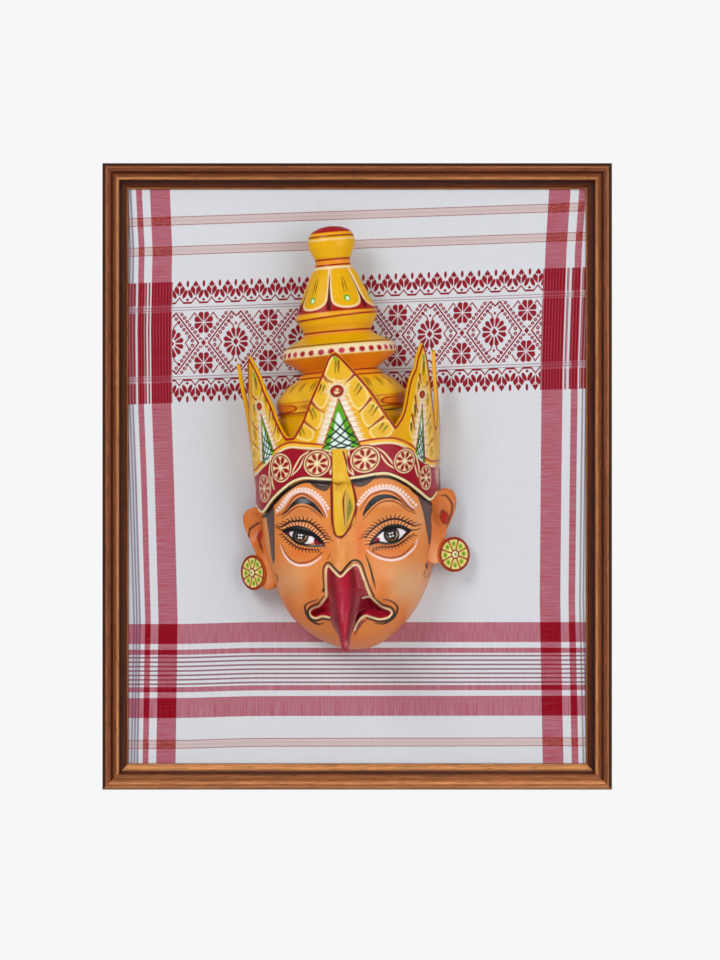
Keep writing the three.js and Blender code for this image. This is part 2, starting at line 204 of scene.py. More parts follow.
def gridMesh(name, columns, rows, place):
    # A sheet of squares, each vertex then placed by its row and column. Whatever the placing
    # function returns after the places is passed on.
    bm = bmesh.new()
    bmesh.ops.create_grid(bm, x_segments=columns, y_segments=rows, size=1)
    mesh = bpy.data.meshes.new(name)
    bm.to_mesh(mesh)
    bm.free()
    column, row, _ = np.rint((pointsOf(mesh) + 1) / 2 * (columns, rows, 0)).astype(int).T
    found = place(column, row)
    found = found if isinstance(found, tuple) else (found,)
    mesh.vertices.foreach_set("co", (found[0] * mm).ravel())
    return mesh, *found


def storePaint(mesh, paint):
    attribute = mesh.color_attributes.new("paint", "FLOAT_COLOR", "POINT")
    attribute.data.foreach_set("color", np.column_stack([paint.colour, np.ones(len(paint.x))]).ravel())
    gloss = mesh.attributes.new("gloss", "FLOAT", "POINT")
    gloss.data.foreach_set("value", paint.gloss)


def faceOutwards(bm):
    bmesh.ops.recalc_face_normals(bm, faces=bm.faces)
    if bm.calc_volume(signed=True) < 0:
        bmesh.ops.reverse_faces(bm, faces=bm.faces)


def closeUp(mesh, seam=4e-6):
    # Merge seams and poles, then turn every face outwards
    bm = bmesh.new()
    bm.from_mesh(mesh)
    bmesh.ops.remove_doubles(bm, verts=bm.verts, dist=seam)
    bmesh.ops.dissolve_degenerate(bm, edges=bm.edges, dist=1e-8)
    faceOutwards(bm)
    bm.to_mesh(mesh)
    bm.free()


def finishPiece(name, mesh, material, slot, *replaced, sharp=None):
    for polygon in mesh.polygons:
        polygon.use_smooth = True
    if sharp:
        mesh.set_sharp_from_angle(angle=math.radians(sharp))
    piece = bpy.data.objects.new(name, mesh)
    bpy.context.collection.objects.link(piece)
    mesh.materials.append(material)
    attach(piece, "root")
    if replaced:
        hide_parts(*replaced)
    print(name, len(mesh.vertices), "vertices")
    return piece


def finishPainted(mesh, paint, material, slot, *replaced):
    storePaint(mesh, paint)
    closeUp(mesh)
    finishPiece(mesh.name, mesh, material, slot, *replaced)


def feed(socket, value):
    # A number, a colour or the output of another node into a socket
    value = value.value if isinstance(value, Term) else value
    if isinstance(value, (int, float)):
        socket.default_value = value
    elif isinstance(value, (str, tuple)):
        socket.default_value = (*linear(value), 1)
    else:
        Term.tree.links.new(value, socket)


# A number or a socket that can be added, multiplied and compared
class Term:
    tree = None

    def __init__(self, value):
        self.value = value

    @staticmethod
    def math(operation, *values, clamp=False):
        node = Term.tree.nodes.new("ShaderNodeMath")
        node.operation, node.use_clamp = operation, clamp
        for socket, value in zip(node.inputs, values):
            feed(socket, value)
        return Term(node.outputs[0])

    def __add__(self, other):
        return Term.math("ADD", self, other)

    def __sub__(self, other):
        return Term.math("SUBTRACT", self, other)

    def __mul__(self, other):
        return Term.math("MULTIPLY", self, other)

    __radd__, __rmul__ = __add__, __mul__

    def __rsub__(self, other):
        return Term.math("SUBTRACT", other, self)

    def times(self, factor, added, clamp=False):
        return Term.math("MULTIPLY_ADD", self, factor, added, clamp=clamp)

    def folded(self):
        return Term.math("ABSOLUTE", self)

    def repeat(self, period, start=0):
        # Distance to the nearest of a row of places
        return Term.math("PINGPONG", self + (1000 * period - start), period / 2)

    def above(self, edge, soft=0.3):
        return self.times(1 / soft, 0.5 - edge / soft, clamp=True)

    def below(self, edge, soft=0.3):
        return self.times(-1 / soft, 0.5 + edge / soft, clamp=True)

    def between(self, low, high, soft=0.3):
        return self.above(low, soft) * self.below(high, soft)

    def lower(self, other):
        return Term.math("MINIMUM", self, other)

    def higher(self, other):
        return Term.math("MAXIMUM", self, other)


def newMaterial(name, roughness, specular=0.5, coat=0.0):
    material = bpy.data.materials.new(name)
    material.use_nodes = True
    Term.tree = material.node_tree
    inputs = Term.tree.nodes["Principled BSDF"].inputs
    for socket, value in (("Roughness", roughness), ("Specular IOR Level", specular), ("Coat Weight", coat),
                          ("Coat Roughness", 0.25)):
        inputs[socket].default_value = value
    return material, inputs


def attribute(name, output):
    node = Term.tree.nodes.new("ShaderNodeAttribute")
    node.attribute_name = name
    return Term(node.outputs[output])


def objectCoordinates(scale):
    where = Term.tree.nodes.new("ShaderNodeTexCoord")
    mapping = Term.tree.nodes.new("ShaderNodeMapping")
    mapping.inputs["Scale"].default_value = scale
    feed(mapping.inputs["Vector"], where.outputs["Object"])
    return mapping.outputs["Vector"]


def noiseOf(vector, scale, detail, roughness):
    node = Term.tree.nodes.new("ShaderNodeTexNoise")
    for socket, value in (("Scale", scale), ("Detail", detail), ("Roughness", roughness), ("Vector", vector)):
        feed(node.inputs[socket], value)
    return Term(node.outputs["Fac"])


def mixColour(factor, first, second, blend="MIX"):
    node = Term.tree.nodes.new("ShaderNodeMix")
    node.data_type = "RGBA"
    node.blend_type = blend
    for socket, value in ((0, factor), (6, first), (7, second)):
        feed(node.inputs[socket], value)
    return node.outputs[2]


def tinted(colour, shade, pulls, dark=1):
    # A colour made lighter or darker, more so in its blue
    node = Term.tree.nodes.new("ShaderNodeCombineColor")
    for channel, pull in zip(("Red", "Green", "Blue"), pulls):
        feed(node.inputs[channel], ((shade - 1) * pull + 1) * dark)
    return mixColour(1, colour, node.outputs["Color"], "MULTIPLY")


def addBump(inputs, height, strength, distance, after=None):
    node = Term.tree.nodes.new("ShaderNodeBump")
    for socket, value in (("Strength", strength), ("Distance", distance), ("Height", height)):
        feed(node.inputs[socket], value)
    if after:
        feed(node.inputs["Normal"], after)
    feed(inputs["Normal"], node.outputs["Normal"])
    return node.outputs["Normal"]


def paintedMaterial(name, mottle, brush, specular):
    # Hand-laid gloss paint over paper and clay: streaks of the brush, faint lumps, rubbed patches
    material, inputs = newMaterial(name, 0.4, specular)
    plain = objectCoordinates((1, 1, 1))
    patches = noiseOf(plain, 26, 4, 0.6)
    streaks = noiseOf(objectCoordinates(brush), 160, 3, 0.6)
    grit = noiseOf(plain, 900, 2, 0.6)
    shade = ((patches - 0.5) * mottle + (streaks - 0.5) * (mottle * 0.9) + 1) * ((grit - 0.5) * 0.06 + 1)
    toned = tinted(attribute("paint", "Color"), shade, (0.55, 1.0, 1.35))
    feed(inputs["Base Color"], mixColour(patches.above(0.68, 0.1) * 0.12, toned, "brown"))
    feed(inputs["Roughness"], attribute("gloss", "Fac") + (patches - 0.5) * 0.25 + (streaks - 0.5) * 0.16)
    lumps = addBump(inputs, patches, 0.22, 0.0016)
    addBump(inputs, streaks * 0.6 + grit * 0.4, 0.16, 0.0004, lumps)
    return material


# Frame: four mitred lengths of stained moulding. Across is measured in from the outer edge.
rail = {
    "frameWidth": 610, "frameHeight": 750, "hangDrop": 15.5, "gap": 0.3, "width": 31.2, "mitreGap": 0.02,
    "step": 1.4,
    # Section: a straight step to a place, or a bend through a control place to the next
    "profile": [[(0, 0)], [(0, 14)], [(0.2, 19), (3.4, 19.8)], [(4.8, 22.8), (6.4, 21.6)], [(9.6, 20.6)],
        [(11, 17.4), (12.3, 20)], [(15.6, 26), (18.4, 23.6)], [(20, 24.4), (20.6, 21.4)],
        [(21.4, 15.4), (24, 15.2)], [(28, 11.6)], [(29.8, 13.4), (31.2, 10.8)], [(31.2, 9)], [(24.2, 9)],
        [(24.2, 0)]],
    # Stain from the outer edge inwards, with painted highlights on the beads and painted shade in the grooves,
    # and that of the bottom length, painted lighter where light from above falls on it
    "stainLightAndShade": [(0, (46, 16, 6)), (3.4, (72, 30, 12)), (4.7, (176, 108, 62)), (6.2, (140, 78, 42)),
        (7.4, (120, 60, 30)), (9.8, (134, 70, 36)), (11.0, (54, 20, 8)), (12.4, (90, 42, 18)),
        (14, (136, 74, 38)), (16.4, (124, 64, 32)), (17.8, (188, 122, 70)), (19.6, (196, 128, 74)),
        (20.6, (104, 50, 20)), (22.0, (56, 20, 6)), (24.2, (66, 26, 9)), (27.4, (108, 52, 24)),
        (28.8, (98, 44, 20)), (30.2, (172, 110, 62)), (31.2, (126, 68, 34))],
    "bottomStainLightAndShade": [(0, (110, 60, 30)), (2.4, (182, 118, 72)), (4.2, (204, 134, 82)), (5.8, (150, 80, 42)),
        (8.4, (214, 144, 92)), (10.8, (180, 114, 68)), (13, (172, 108, 64)), (16, (164, 100, 58)),
        (18.4, (120, 62, 30)), (20.6, (54, 18, 6)), (22.6, (130, 74, 40)), (25.4, (226, 158, 98)),
        (28.4, (212, 144, 90)), (30, (190, 132, 86)), (31.2, (146, 90, 50))],
}


def railOutline():
    points = []
    for step in rail["profile"]:
        start, end = np.array(points[-1] if points else step[0]), np.array(step[-1])
        if len(step) == 1:
            count = max(1, round(math.dist(start, end) / rail["step"]))
            points += [start + (end - start) * k / count for k in range(1, count + 1)]
        else:
            points += [start * (1 - t) ** 2 + 2 * np.array(step[0]) * t * (1 - t) + end * t**2
                       for t in np.linspace(0, 1, 9)[1:]]
    return np.array(points)


def woodMaterial(name, grain, cross):
    # Open-pored stained hardwood, the pores running along the length
    material, inputs = newMaterial(name, 0.5, 0.22, coat=0.03)
    fibre = noiseOf(objectCoordinates(grain), 1, 5, 0.65)
    pores = noiseOf(objectCoordinates(cross), 1, 2, 0.5).above(0.56, 0.12)
    cloud = noiseOf(objectCoordinates(tuple(part * 0.12 for part in grain)), 1, 3, 0.5)
    light = (fibre - 0.5) * 1.5 + (cloud - 0.5) * 0.9 + 1
    feed(inputs["Base Color"], tinted(attribute("paint", "Color"), light, (0.9, 1.0, 1.15), 1 - pores * 0.42))
    feed(inputs["Roughness"], 0.5 - (fibre - 0.5) * 0.3 + pores * 0.2)
    addBump(inputs, fibre * 0.5 - pores * 0.5, 0.35, 0.0005)
    return material


def addRails():
    across, outward = railOutline().T
    woods = {"x": woodMaterial("stained_wood_level", (14, 420, 420), (60, 1500, 1500)),
             "z": woodMaterial("stained_wood_upright", (420, 420, 14), (1500, 1500, 60))}
    lengthOf = {"x": rail["frameWidth"], "z": rail["frameHeight"]}
    right, top = rail["frameWidth"] / 2, rail["hangDrop"]
    bottom = top - rail["frameHeight"]
    for name, inward, corner, grain in (
        ("frame_top_rail", (0, 0, -1), (right, 0, top), "x"),
        ("frame_right_rail", (-1, 0, 0), (right, 0, bottom), "z"),
        ("frame_bottom_rail", (0, 0, 1), (-right, 0, bottom), "x"),
        ("frame_left_rail", (1, 0, 0), (-right, 0, top), "z"),
    ):
        inward, out = np.array(inward), np.array((0, -1, 0))
        run = np.cross(inward, out)
        section = np.array(corner) + np.outer(across, inward) + np.outer(outward, out)
        section = section + np.outer(across + rail["mitreGap"], run)
        bm = bmesh.new()
        face = bm.faces.new([bm.verts.new(point * mm) for point in section])
        for part in bmesh.ops.extrude_face_region(bm, geom=[face])["geom"]:
            if isinstance(part, bmesh.types.BMVert):
                at = np.array(part.co) / mm
                inset = (at - corner) @ inward + rail["mitreGap"]
                part.co = (at + run * (lengthOf[grain] - 2 * inset)) * mm
        faceOutwards(bm)
        mesh = bpy.data.meshes.new(name + "_moulding")
        bm.to_mesh(mesh)
        bm.free()
        at = pointsOf(mesh) / mm
        inset, out = (at - corner) @ inward, -at[:, 1]
        stainLightAndShade = rail["bottomStainLightAndShade" if name == "frame_bottom_rail" else "stainLightAndShade"]
        paint = Paint(inset, out, (70, 34, 18))
        places, tones = [place for place, _ in stainLightAndShade], np.array([linear(colour) for _, colour in stainLightAndShade])
        # Each place across takes the wood's stain together with the painted highlights and painted shade of the
        # profile
        tone = np.column_stack([np.interp(inset, places, channel) for channel in tones.T])
        stained = out > 10
        paint.colour[stained] = tone[stained]
        # Bare wood in the rebate and on the back
        paint.colour[(out < 9.5) & (inset > 1)] = linear((150, 112, 74))
        storePaint(mesh, paint)
        finishPiece(mesh.name, mesh, woods[grain], "frame_wood", name, sharp=38)


def plyMaterial():
    material, inputs = newMaterial("birch_ply", 0.75, 0.3)
    grain = noiseOf(objectCoordinates((9, 60, 120)), 1, 4, 0.6)
    flecks = noiseOf(objectCoordinates((160, 400, 900)), 1, 2, 0.5)
    tone = mixColour((grain - 0.5) * 1.6 + 0.5, (196, 158, 112), (168, 126, 82))
    feed(inputs["Base Color"], mixColour(flecks.above(0.62, 0.1) * 0.35, tone, (120, 84, 52)))
    addBump(inputs, grain * 0.6 + flecks * 0.4, 0.3, 0.0005)
    return material


addRails()
board = bpy.data.objects["backing_board"]
board.data.materials.clear()
board.data.materials.append(plyMaterial())
print("frame ready")

# Cloth. Its places are pixels of the photograph (1.2 mm), taken along the threads.
cloth = {
    "width": 557, "top": -9.2, "bottom": -709.8, "front": -8.7, "back": -1.7, "margin": 28, "thickness": 0.7,
    # Red stripes along the sides, the dark lines in them and the white gaps in the band's ends
    "warpStripes": [(150, 170), (136, 142), (549, 570.5), (579, 586)],
    "edgeLines": [(123.6, 125.4), (126.6, 128.4), (129.6, 131.4), (590.2, 591.9), (593.7, 595.4)],
    "gaps": [(134.4, 136.6), (145.3, 146.9), (148.5, 150), (570.4, 572.1), (574.3, 576.6), (585.4, 587.4)],
    # How far the threads wander sideways down the cloth, and how the cross ones slope
    "leftWander": [(193, 0), (250, 2.4), (330, 0.8), (400, 1.4), (480, 4.4), (620, 8.4), (765, 6)],
    "rightWander": [(193, 0), (250, -3.8), (364, -7.6), (480, -9), (600, -10.2), (765, -6.8)],
    "slope": [(193, -0.034), (280, -0.036), (342, -0.0376), (400, -0.0355), (500, -0.018), (620, 0),
        (765, -0.002)],
    "slopeFrom": 172, "sag": 1.9,
    # Stripes across the cloth, and the wide ones at its foot
    "goldStripes": [(216.8, 225.6), (246.4, 255.4), (740, 748.8)], "footMiddle": 671,
    "footStripes": [(27, 47), (16.1, 21.3)], "footLine": 4.42, "footLines": 15,
    # The band of diamonds and the border of leaves above and below it
    "bandMiddle": 343.8, "bandFrom": 282.0, "bandTo": 403.0, "bandLeft": 171.4, "bandRight": 547.6,
    "bandHalf": 31.2, "twinLines": (33.2, 35.8), "repeat": 65.8, "firstDiamond": 170.6, "borderMiddle": 342.1,
    "leafRepeat": 16.67, "firstLeaf": 175.8, "leafBase": 37.1,
}


def distanceOf(x, y):
    return Term.math("SQRT", x.times(x, y * y))


def segment(x, y, start, end, width, soft=0.35):
    # A straight woven line between two places
    dx, dy = end[0] - start[0], end[1] - start[1]
    size = dx * dx + dy * dy
    reach = y.times(dy / size, x.times(dx / size, -(start[0] * dx + start[1] * dy) / size), clamp=True)
    return distanceOf(reach.times(-dx, x - start[0]), reach.times(-dy, y - start[1])).below(width / 2, soft)


def petals(dx, dy, halfWidth, halfHeight, count, hole, soft):
    # A flower: petals parted by thin gaps, rounded at their ends
    x, y = dx * (1 / halfWidth), dy * (1 / halfHeight)
    size = distanceOf(x, y)
    part = math.pi / count
    turn = Term.math("PINGPONG", Term.math("ARCTAN2", y, x) + 8 * math.pi, part)
    end = 1 - Term.math("POWER", 1 - turn * (1 / part), 2) * 0.22
    return (size * turn).above(0.04, soft) * (end - size).above(0, soft * 1.4) * size.above(hole, soft)


def ring(away, step, soft):
    # One small woven ring
    return (distanceOf(away, step) - 1.15).folded().below(0.66, soft)


def chain(away, along, soft):
    # A row of small woven rings
    return ring(away, Term.math("PINGPONG", along + 453.4, 2.275), soft)


def diamondBand(s, t):
    soft = 0.35
    x = s.repeat(cloth["repeat"], cloth["firstDiamond"])
    y = (t - cloth["bandMiddle"]).folded()
    vertex, shoulder, notch = (27.8, 0), (4.7, 30.4), (0, 25.8)
    size = math.dist(vertex, shoulder)
    ux, uy = (shoulder[0] - vertex[0]) / size, (shoulder[1] - vertex[1]) / size
    along = x.times(ux, y.times(uy, -vertex[0] * ux))
    away = x.times(uy, y.times(-ux, -vertex[0] * uy))
    flowerX, flowerY = cloth["repeat"] / 2 - x, y - 20.3
    motif = segment(x, y, shoulder, notch, 1.5)
    for part in (
        segment(x, y, vertex, shoulder, 1.6),
        chain(away - 3.7, along, soft) * y.above(2.9, soft),
        chain(away + 3.4, along, soft) * x.above(2.4, soft) * y.above(4.4, soft),
        ring(x - 21.5, y - 2.4, soft),
        petals(flowerX, flowerY, 10.0, 11.4, 8, 0.07, 0.06),
        petals(x, y, 12.8, 14.6, 12, 0.34, 0.05),
        (x * (1 / 3.0) + y * (1 / 3.9)).below(1, 0.15),
        (flowerX * (1 / 2.6) + y * (1 / 3.4)).below(1, 0.15),
        (x + (y - 18.6).folded() * 0.7).below(1.4, soft),
    ):
        motif = motif.higher(part)
    for start, end in (((18.4, 5.6), (14.4, 0)), ((1.9, 13), (3.2, 17.2)), ((3.2, 17.2), (8.2, 21.6)),
                       ((23.3, 30.2), (18.6, 23.6)), ((23.3, 30.2), (25.2, 27.4))):
        motif = motif.higher(segment(x, y, start, end, 1.2))
    return motif * y.below(cloth["bandHalf"], 0.3)


def leafBorder(s, t):
    soft = 0.35
    # The leaves stand closer at the left, where the weaving was beaten tighter
    s = Term.math("SINE", (s - 270) * (math.tau / 540)) * 3 + s
    x = s.repeat(cloth["leafRepeat"], cloth["firstLeaf"])
    h = (t - cloth["borderMiddle"]).folded() - cloth["leafBase"]
    d = cloth["leafRepeat"] / 2 - x
    # A pointed leaf parted by its veins, two slanting buds, a drop, a dot and the zigzag below them
    leaf = (((23.8 - h) * 0.7).lower((h - 7.8) * 0.9).lower(5.4) - x).above(0, soft)
    vein = (x - (h - 15.4) * 0.85).folded().above(0.5, 0.35)
    stem = x.above(0.4, 0.3).higher(h.above(18.4, 0.5))
    along = ((d - 2.8) * 0.418 - (h - 10.2) * 0.909) * (1 / 4.6)
    across = ((d - 2.8) * 0.909 + (h - 10.2) * 0.418) * (1 / 2.0)
    bud = along.times(along, across * across).below(1, 0.4)
    dropX, dropY = d * (1 / 1.4), (h - 20.5) * (1 / 3.4)
    drop = dropX.times(dropX, dropY * dropY).below(1, 0.5)
    zigzag = (h - ((d - 4.2).higher(0) * 1.25 + 1.5)).folded().below(1.0, soft)
    dot = (d + (h - 4.6).folded()).below(1.8, soft)
    return (leaf * vein * stem).higher(bud).higher(drop).higher(zigzag).higher(dot) * h.above(-2.4, 0.3)


def gamosaMaterial():
    material, inputs = newMaterial("woven_gamosa", 0.9, 0.12)
    threads = Term.tree.nodes.new("ShaderNodeUVMap")
    threads.uv_map = "threads"
    parts = Term.tree.nodes.new("ShaderNodeSeparateXYZ")
    feed(parts.inputs["Vector"], threads.outputs["UV"])
    s, t = Term(parts.outputs["X"]) * 1000, Term(parts.outputs["Y"]) * 1000

    def streaks(alongS, alongT, detail=3):
        place = Term.tree.nodes.new("ShaderNodeCombineXYZ")
        feed(place.inputs["X"], s * alongS)
        feed(place.inputs["Y"], t * alongT)
        return noiseOf(place.outputs["Vector"], 1, detail, 0.6)

    def stripes(places, ranges, soft):
        return sum(places.between(low, high, soft) for low, high in ranges)

    warpSlub, weftSlub = streaks(0.9, 0.03), streaks(0.03, 0.9)
    slub = warpSlub * 0.5 + weftSlub * 0.5
    speckle = streaks(1.1, 1.1, 2)
    # Red threads across (weft) and upright (warp), and dark or gold ones among them
    warp = stripes(s, cloth["warpStripes"], 0.5)
    foot = (t - cloth["footMiddle"]).folded()
    lines = foot.repeat(cloth["footLine"]).below(0.85, 0.6) * foot.below(cloth["footLines"], 0.5) * 0.8
    thin = stripes(s, cloth["edgeLines"], 0.5) + lines
    gold = stripes(t, cloth["goldStripes"], 0.4)
    weft = stripes(foot, cloth["footStripes"], 0.5) + lines + gold * 0.14
    for low, high in cloth["goldStripes"]:
        for line, strength in ((low, 0.66), ((low + high) / 2 - 0.4, 0.15), (high - 0.9, 0.66)):
            thread = t.between(line, line + 0.8, 0.5) * strength
            weft, thin = weft + thread, thin + thread * 0.8
    away = (t - cloth["bandMiddle"]).folded()
    twin = sum((away - place).folded().below(0.45, 0.4) for place in cloth["twinLines"])
    weft, thin = (weft + twin * 0.5).lower(1), thin + twin * 0.6
    # The band of patterns, and its solid ends beyond the inner stripes
    middle = s.between(cloth["bandLeft"], cloth["bandRight"], 0.4)
    side = t.between(cloth["bandFrom"], cloth["bandTo"], 0.4) * (1 - middle)
    ribs = 1 - s.repeat(3.05).below(0.5, 0.5) * 0.3
    rowGap = 1 - (away - 35.2).folded().below(3.6, 0.4) * 0.35
    solid = side * ribs * (1 - stripes(s, cloth["gaps"], 0.4) * 0.92) * rowGap
    pattern = ((diamondBand(s, t) + leafBorder(s, t)) * middle).lower(1)
    # Red threads crossed by white ones are streaked by the white threads
    paleWarp = 1 - warp * (0.82 + (weftSlub - 0.5) * 0.5)
    paleWeft = 1 - weft * (0.78 + (warpSlub - 0.5) * 0.5 + (speckle - 0.5) * 0.3)
    pale = paleWarp * paleWeft * (1 - gold * 0.05) * (1 - solid * 0.97)
    pale = (pale - warp * (weft * 0.04 + gold * 0.1)).higher(0)
    pale = pale * (1 - pattern * (0.98 + (speckle - 0.5) * 0.08))
    white = mixColour(gold * 0.5, mixColour(slub, (226, 228, 233), (206, 209, 215)), (208, 188, 184))
    # Painted shadow of the left rail: the white threads near the left edge turn grey-lavender
    white = mixColour(s.below(132, 1.4) * 0.5, white, (180, 176, 196))
    # Red threads look darker where warp and weft are both red
    full = (warp.lower(1) * (weft + gold * 0.5) + solid + pattern).lower(1)
    single = mixColour(slub, (150, 2, 50), (180, 12, 70))
    red = mixColour(full, single, mixColour(speckle, (132, 0, 22), (150, 4, 32)))
    colour = mixColour(Term.math("MINIMUM", pale, 1, clamp=True), red, white)
    bare = (1 - warp.lower(1) * 0.85) * (1 - solid * 0.7)
    colour = mixColour(thin.lower(1) * bare * 0.62, colour, (86, 58, 74))
    feed(inputs["Base Color"], mixColour(speckle.above(0.6, 0.12) * gold * 0.6, colour, (226, 192, 140)))
    pitch = 0.42
    over = Term.math("SINE", s * (math.tau / pitch)) * Term.math("SINE", t * (math.tau / pitch))
    addBump(inputs, over * 0.5 + warpSlub * 0.8 + weftSlub * 0.8 + pattern * 0.6, 0.35, 0.0002)
    return material


def clothHeight(x, z):
    # Soft ripples where the cloth is not held by the frame
    right = rail["frameWidth"] / 2 - rail["width"]
    top = rail["hangDrop"] - rail["width"]
    bottom = rail["hangDrop"] - rail["frameHeight"] + rail["width"]
    held = smooth((right - np.abs(x)) / 34) * smooth((top - z) / 34) * smooth((z - bottom) / 34)
    ripple = 0.5 + 0.22 * np.sin(x / 23 + z / 140) + 0.2 * np.sin(x / 41 - z / 60 + 1.3)
    ripple += 0.16 * np.sin(x / 11 + np.sin(z / 50) * 1.5) * smooth((np.abs(x) - 150) / 60)
    crease = 0.8 * bell((z + 361.5 - 0.01 * x) / 1.6)
    return held * (1.5 * ripple + crease)


def addCloth():
    top, bottom, front, back, margin = [cloth[key] for key in ("top", "bottom", "front", "back", "margin")]
    marks = np.cumsum([0, margin, back - front, top - bottom, back - front, margin])
    depth = [back, back, front, front, back, back]
    rise = [bottom + margin, bottom, bottom, top, top, top - margin]
    columns, rows = 120, 178
    rowMarks = [0, 6, 10, rows - 10, rows - 6, rows]

    def place(column, row):
        along = np.interp(row, rowMarks, marks)
        x = (column / columns - 0.5) * cloth["width"]
        y, z = np.interp(along, marks, depth), np.interp(along, marks, rise)
        flatFront = (row >= rowMarks[2]) & (row <= rowMarks[3])
        return np.column_stack([x, y - np.where(flatFront, clothHeight(x, z), 0), z]), along, row

    mesh, points, along, row = gridMesh("gamosa_threads", columns, rows, place)
    px, py = project(points)
    below = marks[3] - along
    py = py[row == rowMarks[3]].mean() + below / photo["pixel"] * 1.0014
    # Places along the threads, which wander and sag in the photograph
    t = py
    for _ in range(3):
        t = py - np.interp(t, *zip(*cloth["slope"])) * (px - cloth["slopeFrom"])
    t = t + cloth["sag"] * smooth((px - 172) / 90) * smooth((py - 560) / 60)
    left, right = np.interp(py, *zip(*cloth["leftWander"])), np.interp(py, *zip(*cloth["rightWander"]))
    s = px - left - (right - left) * np.clip((px - 160) / 400, -0.1, 1.1)
    layer = mesh.uv_layers.new(name="threads")
    corners = np.empty(len(mesh.loops), int)
    mesh.loops.foreach_get("vertex_index", corners)
    layer.data.foreach_set("uv", np.column_stack([s, t])[corners].ravel() / 1000)
    piece = finishPiece("gamosa_cloth_woven", mesh, gamosaMaterial(), "woven_cloth", "gamosa_cloth")
    thick = piece.modifiers.new("cloth thickness", "SOLIDIFY")
    thick.thickness = cloth["thickness"] * mm
    thick.offset = -1


addCloth()
print("cloth ready")


def addStage():
    bm = bmesh.new()
    bmesh.ops.create_grid(bm, x_segments=2, y_segments=2, size=3)
    bmesh.ops.translate(bm, verts=bm.verts, vec=(0, 0, -1.6))
    mesh = bpy.data.meshes.new("pale_floor")
    bm.to_mesh(mesh)
    bm.free()
    floor = bpy.data.objects.new("pale_floor", mesh)
    bpy.context.collection.objects.link(floor)
    material, inputs = newMaterial("pale_floor", 0.8)
    feed(inputs["Base Color"], (236, 236, 236))
    mesh.materials.append(material)


def addLights():
    for name, place, aim, size, power in (
        ("key", (-1.7, -2.6, 1.3), (0, 0, -0.4), 1.3, 46),
        ("fill", (2.2, -2.8, -0.2), (0, 0, -0.4), 2.4, 43),
        ("low", (0.2, -2.6, -2.0), (0, 0, -0.5), 1.8, 20),
    ):
        data = bpy.data.lights.new(name, "AREA")
        data.size, data.energy = size, power
        light = bpy.data.objects.new(name, data)
        light.location = place
        x, y, z = np.array(aim) - np.array(place)
        light.rotation_euler = (math.atan2(math.hypot(x, y), -z), 0, math.atan2(-x, y))
        bpy.context.collection.objects.link(light)
    world = bpy.data.worlds.new("studio")
    bpy.context.scene.world = world
    world.use_nodes = True
    nodes, links = world.node_tree.nodes, world.node_tree.links
    room = nodes["Background"]
    room.inputs["Color"].default_value = (0.93, 0.93, 0.94, 1)
    room.inputs["Strength"].default_value = 0.42
    seen = nodes.new("ShaderNodeBackground")
    seen.inputs["Color"].default_value = (*linear((247, 247, 247)), 1)
    seen.inputs["Strength"].default_value = 1
    mix, path = nodes.new("ShaderNodeMixShader"), nodes.new("ShaderNodeLightPath")
    links.new(path.outputs["Is Camera Ray"], mix.inputs["Fac"])
    links.new(room.outputs["Background"], mix.inputs[1])
    links.new(seen.outputs["Background"], mix.inputs[2])
    links.new(mix.outputs["Shader"], nodes["World Output"].inputs["Surface"])
    bpy.context.scene.view_settings.view_transform = "Standard"


addStage()
addLights()
print("stage ready")


# Mask. Millimetres of its upright drawing: across from the axis, up from the middle of the face.
mask = {
    "axis": (-2, -458.6), "faceMiddle": (-14.4, -458.6), "scale": 0.987, "back": -9, "roll": 4,
    "leanFace": 0.165, "leanCrown": 0.05, "chinDrop": 109.5, "cheekHeight": 36, "cheek": (102.6, 106),
    "head": [(36, 102.6, 106), (72, 104.6, 110), (105, 104.6, 112), (144, 97, 110), (176, 84, 104)],
    "sideShare": 0.22, "roundness": 2.2, "bendEnd": 0.84, "wall": 6, "leftJaw": 7.2,
    # Soft forms: across, up, half width, half height, rise
    "forms": [(-53, 33, 31, 21, -8), (55, 34, 31, 21, -8), (-53, 29, 21, 13, 10), (55, 30, 21, 13, 10),
        (-53, 64, 30, 10, 4), (55, 66, 30, 10, 4), (-5, 8, 15, 36, 9), (0, -46, 46, 30, 8),
        (-58, -24, 22, 18, 4), (60, -22, 22, 18, 4), (-31, -59, 11, 8, -15), (36, -57, 19, 10, -15),
        (-45, -60, 8, 12, 4), (60, -58, 8, 12, 4), (3, -90, 22, 12, 4)],
    # Beak sections: up, centre, half width, ridge depth, back depth
    "beak": [(4, -5, 8, 112, 98), (-12, -5, 17, 119, 98), (-26, 0.5, 24, 128, 97), (-36, 1.5, 23, 134, 95.5),
        (-44, 0.5, 20, 139, 95), (-53, -0.4, 19, 143.5, 94), (-60, -1.2, 17.6, 146.5, 95.5),
        (-73, -1, 12.8, 149.5, 105), (-86, -0.4, 8, 148.5, 120), (-101, 0.5, 5, 142, 131),
        (-106.8, 0.5, 3.2, 138, 133)],
    "lowerBeak": [(-52, 1, 12, 112, 88), (-58, 1, 13, 115, 90), (-66, 1.5, 12, 117, 92), (-76, 3, 9, 118, 98),
        (-86, 4, 5, 117, 106), (-91, 4.5, 1.6, 115, 111)],
    "columns": 262, "sideColumns": 16, "innerColumns": 14,
    # Rows of the face: row and height, closer together at the eyes
    "rows": [(0, -109.45), (3, -109.1), (7, -107.8), (12, -105), (19, -99.5), (30, -91), (150, 8), (276, 78),
        (300, 100), (306, 140), (310, 176), (313, 176)],
    # Outline, how deep it is sunk and over what width, and the rim round it: height, place, width
    "carvings": [("mouthLeft", 9, 4.5, 1.6, 2.0, 1.8), ("mouthRight", 11, 5.5, 1.6, 2.0, 1.8),
        ("eyeLeft", -0.9, 5, 1.0, 1.6, 1.5), ("eyeRight", -0.9, 5, 1.0, 1.6, 1.5)],
}


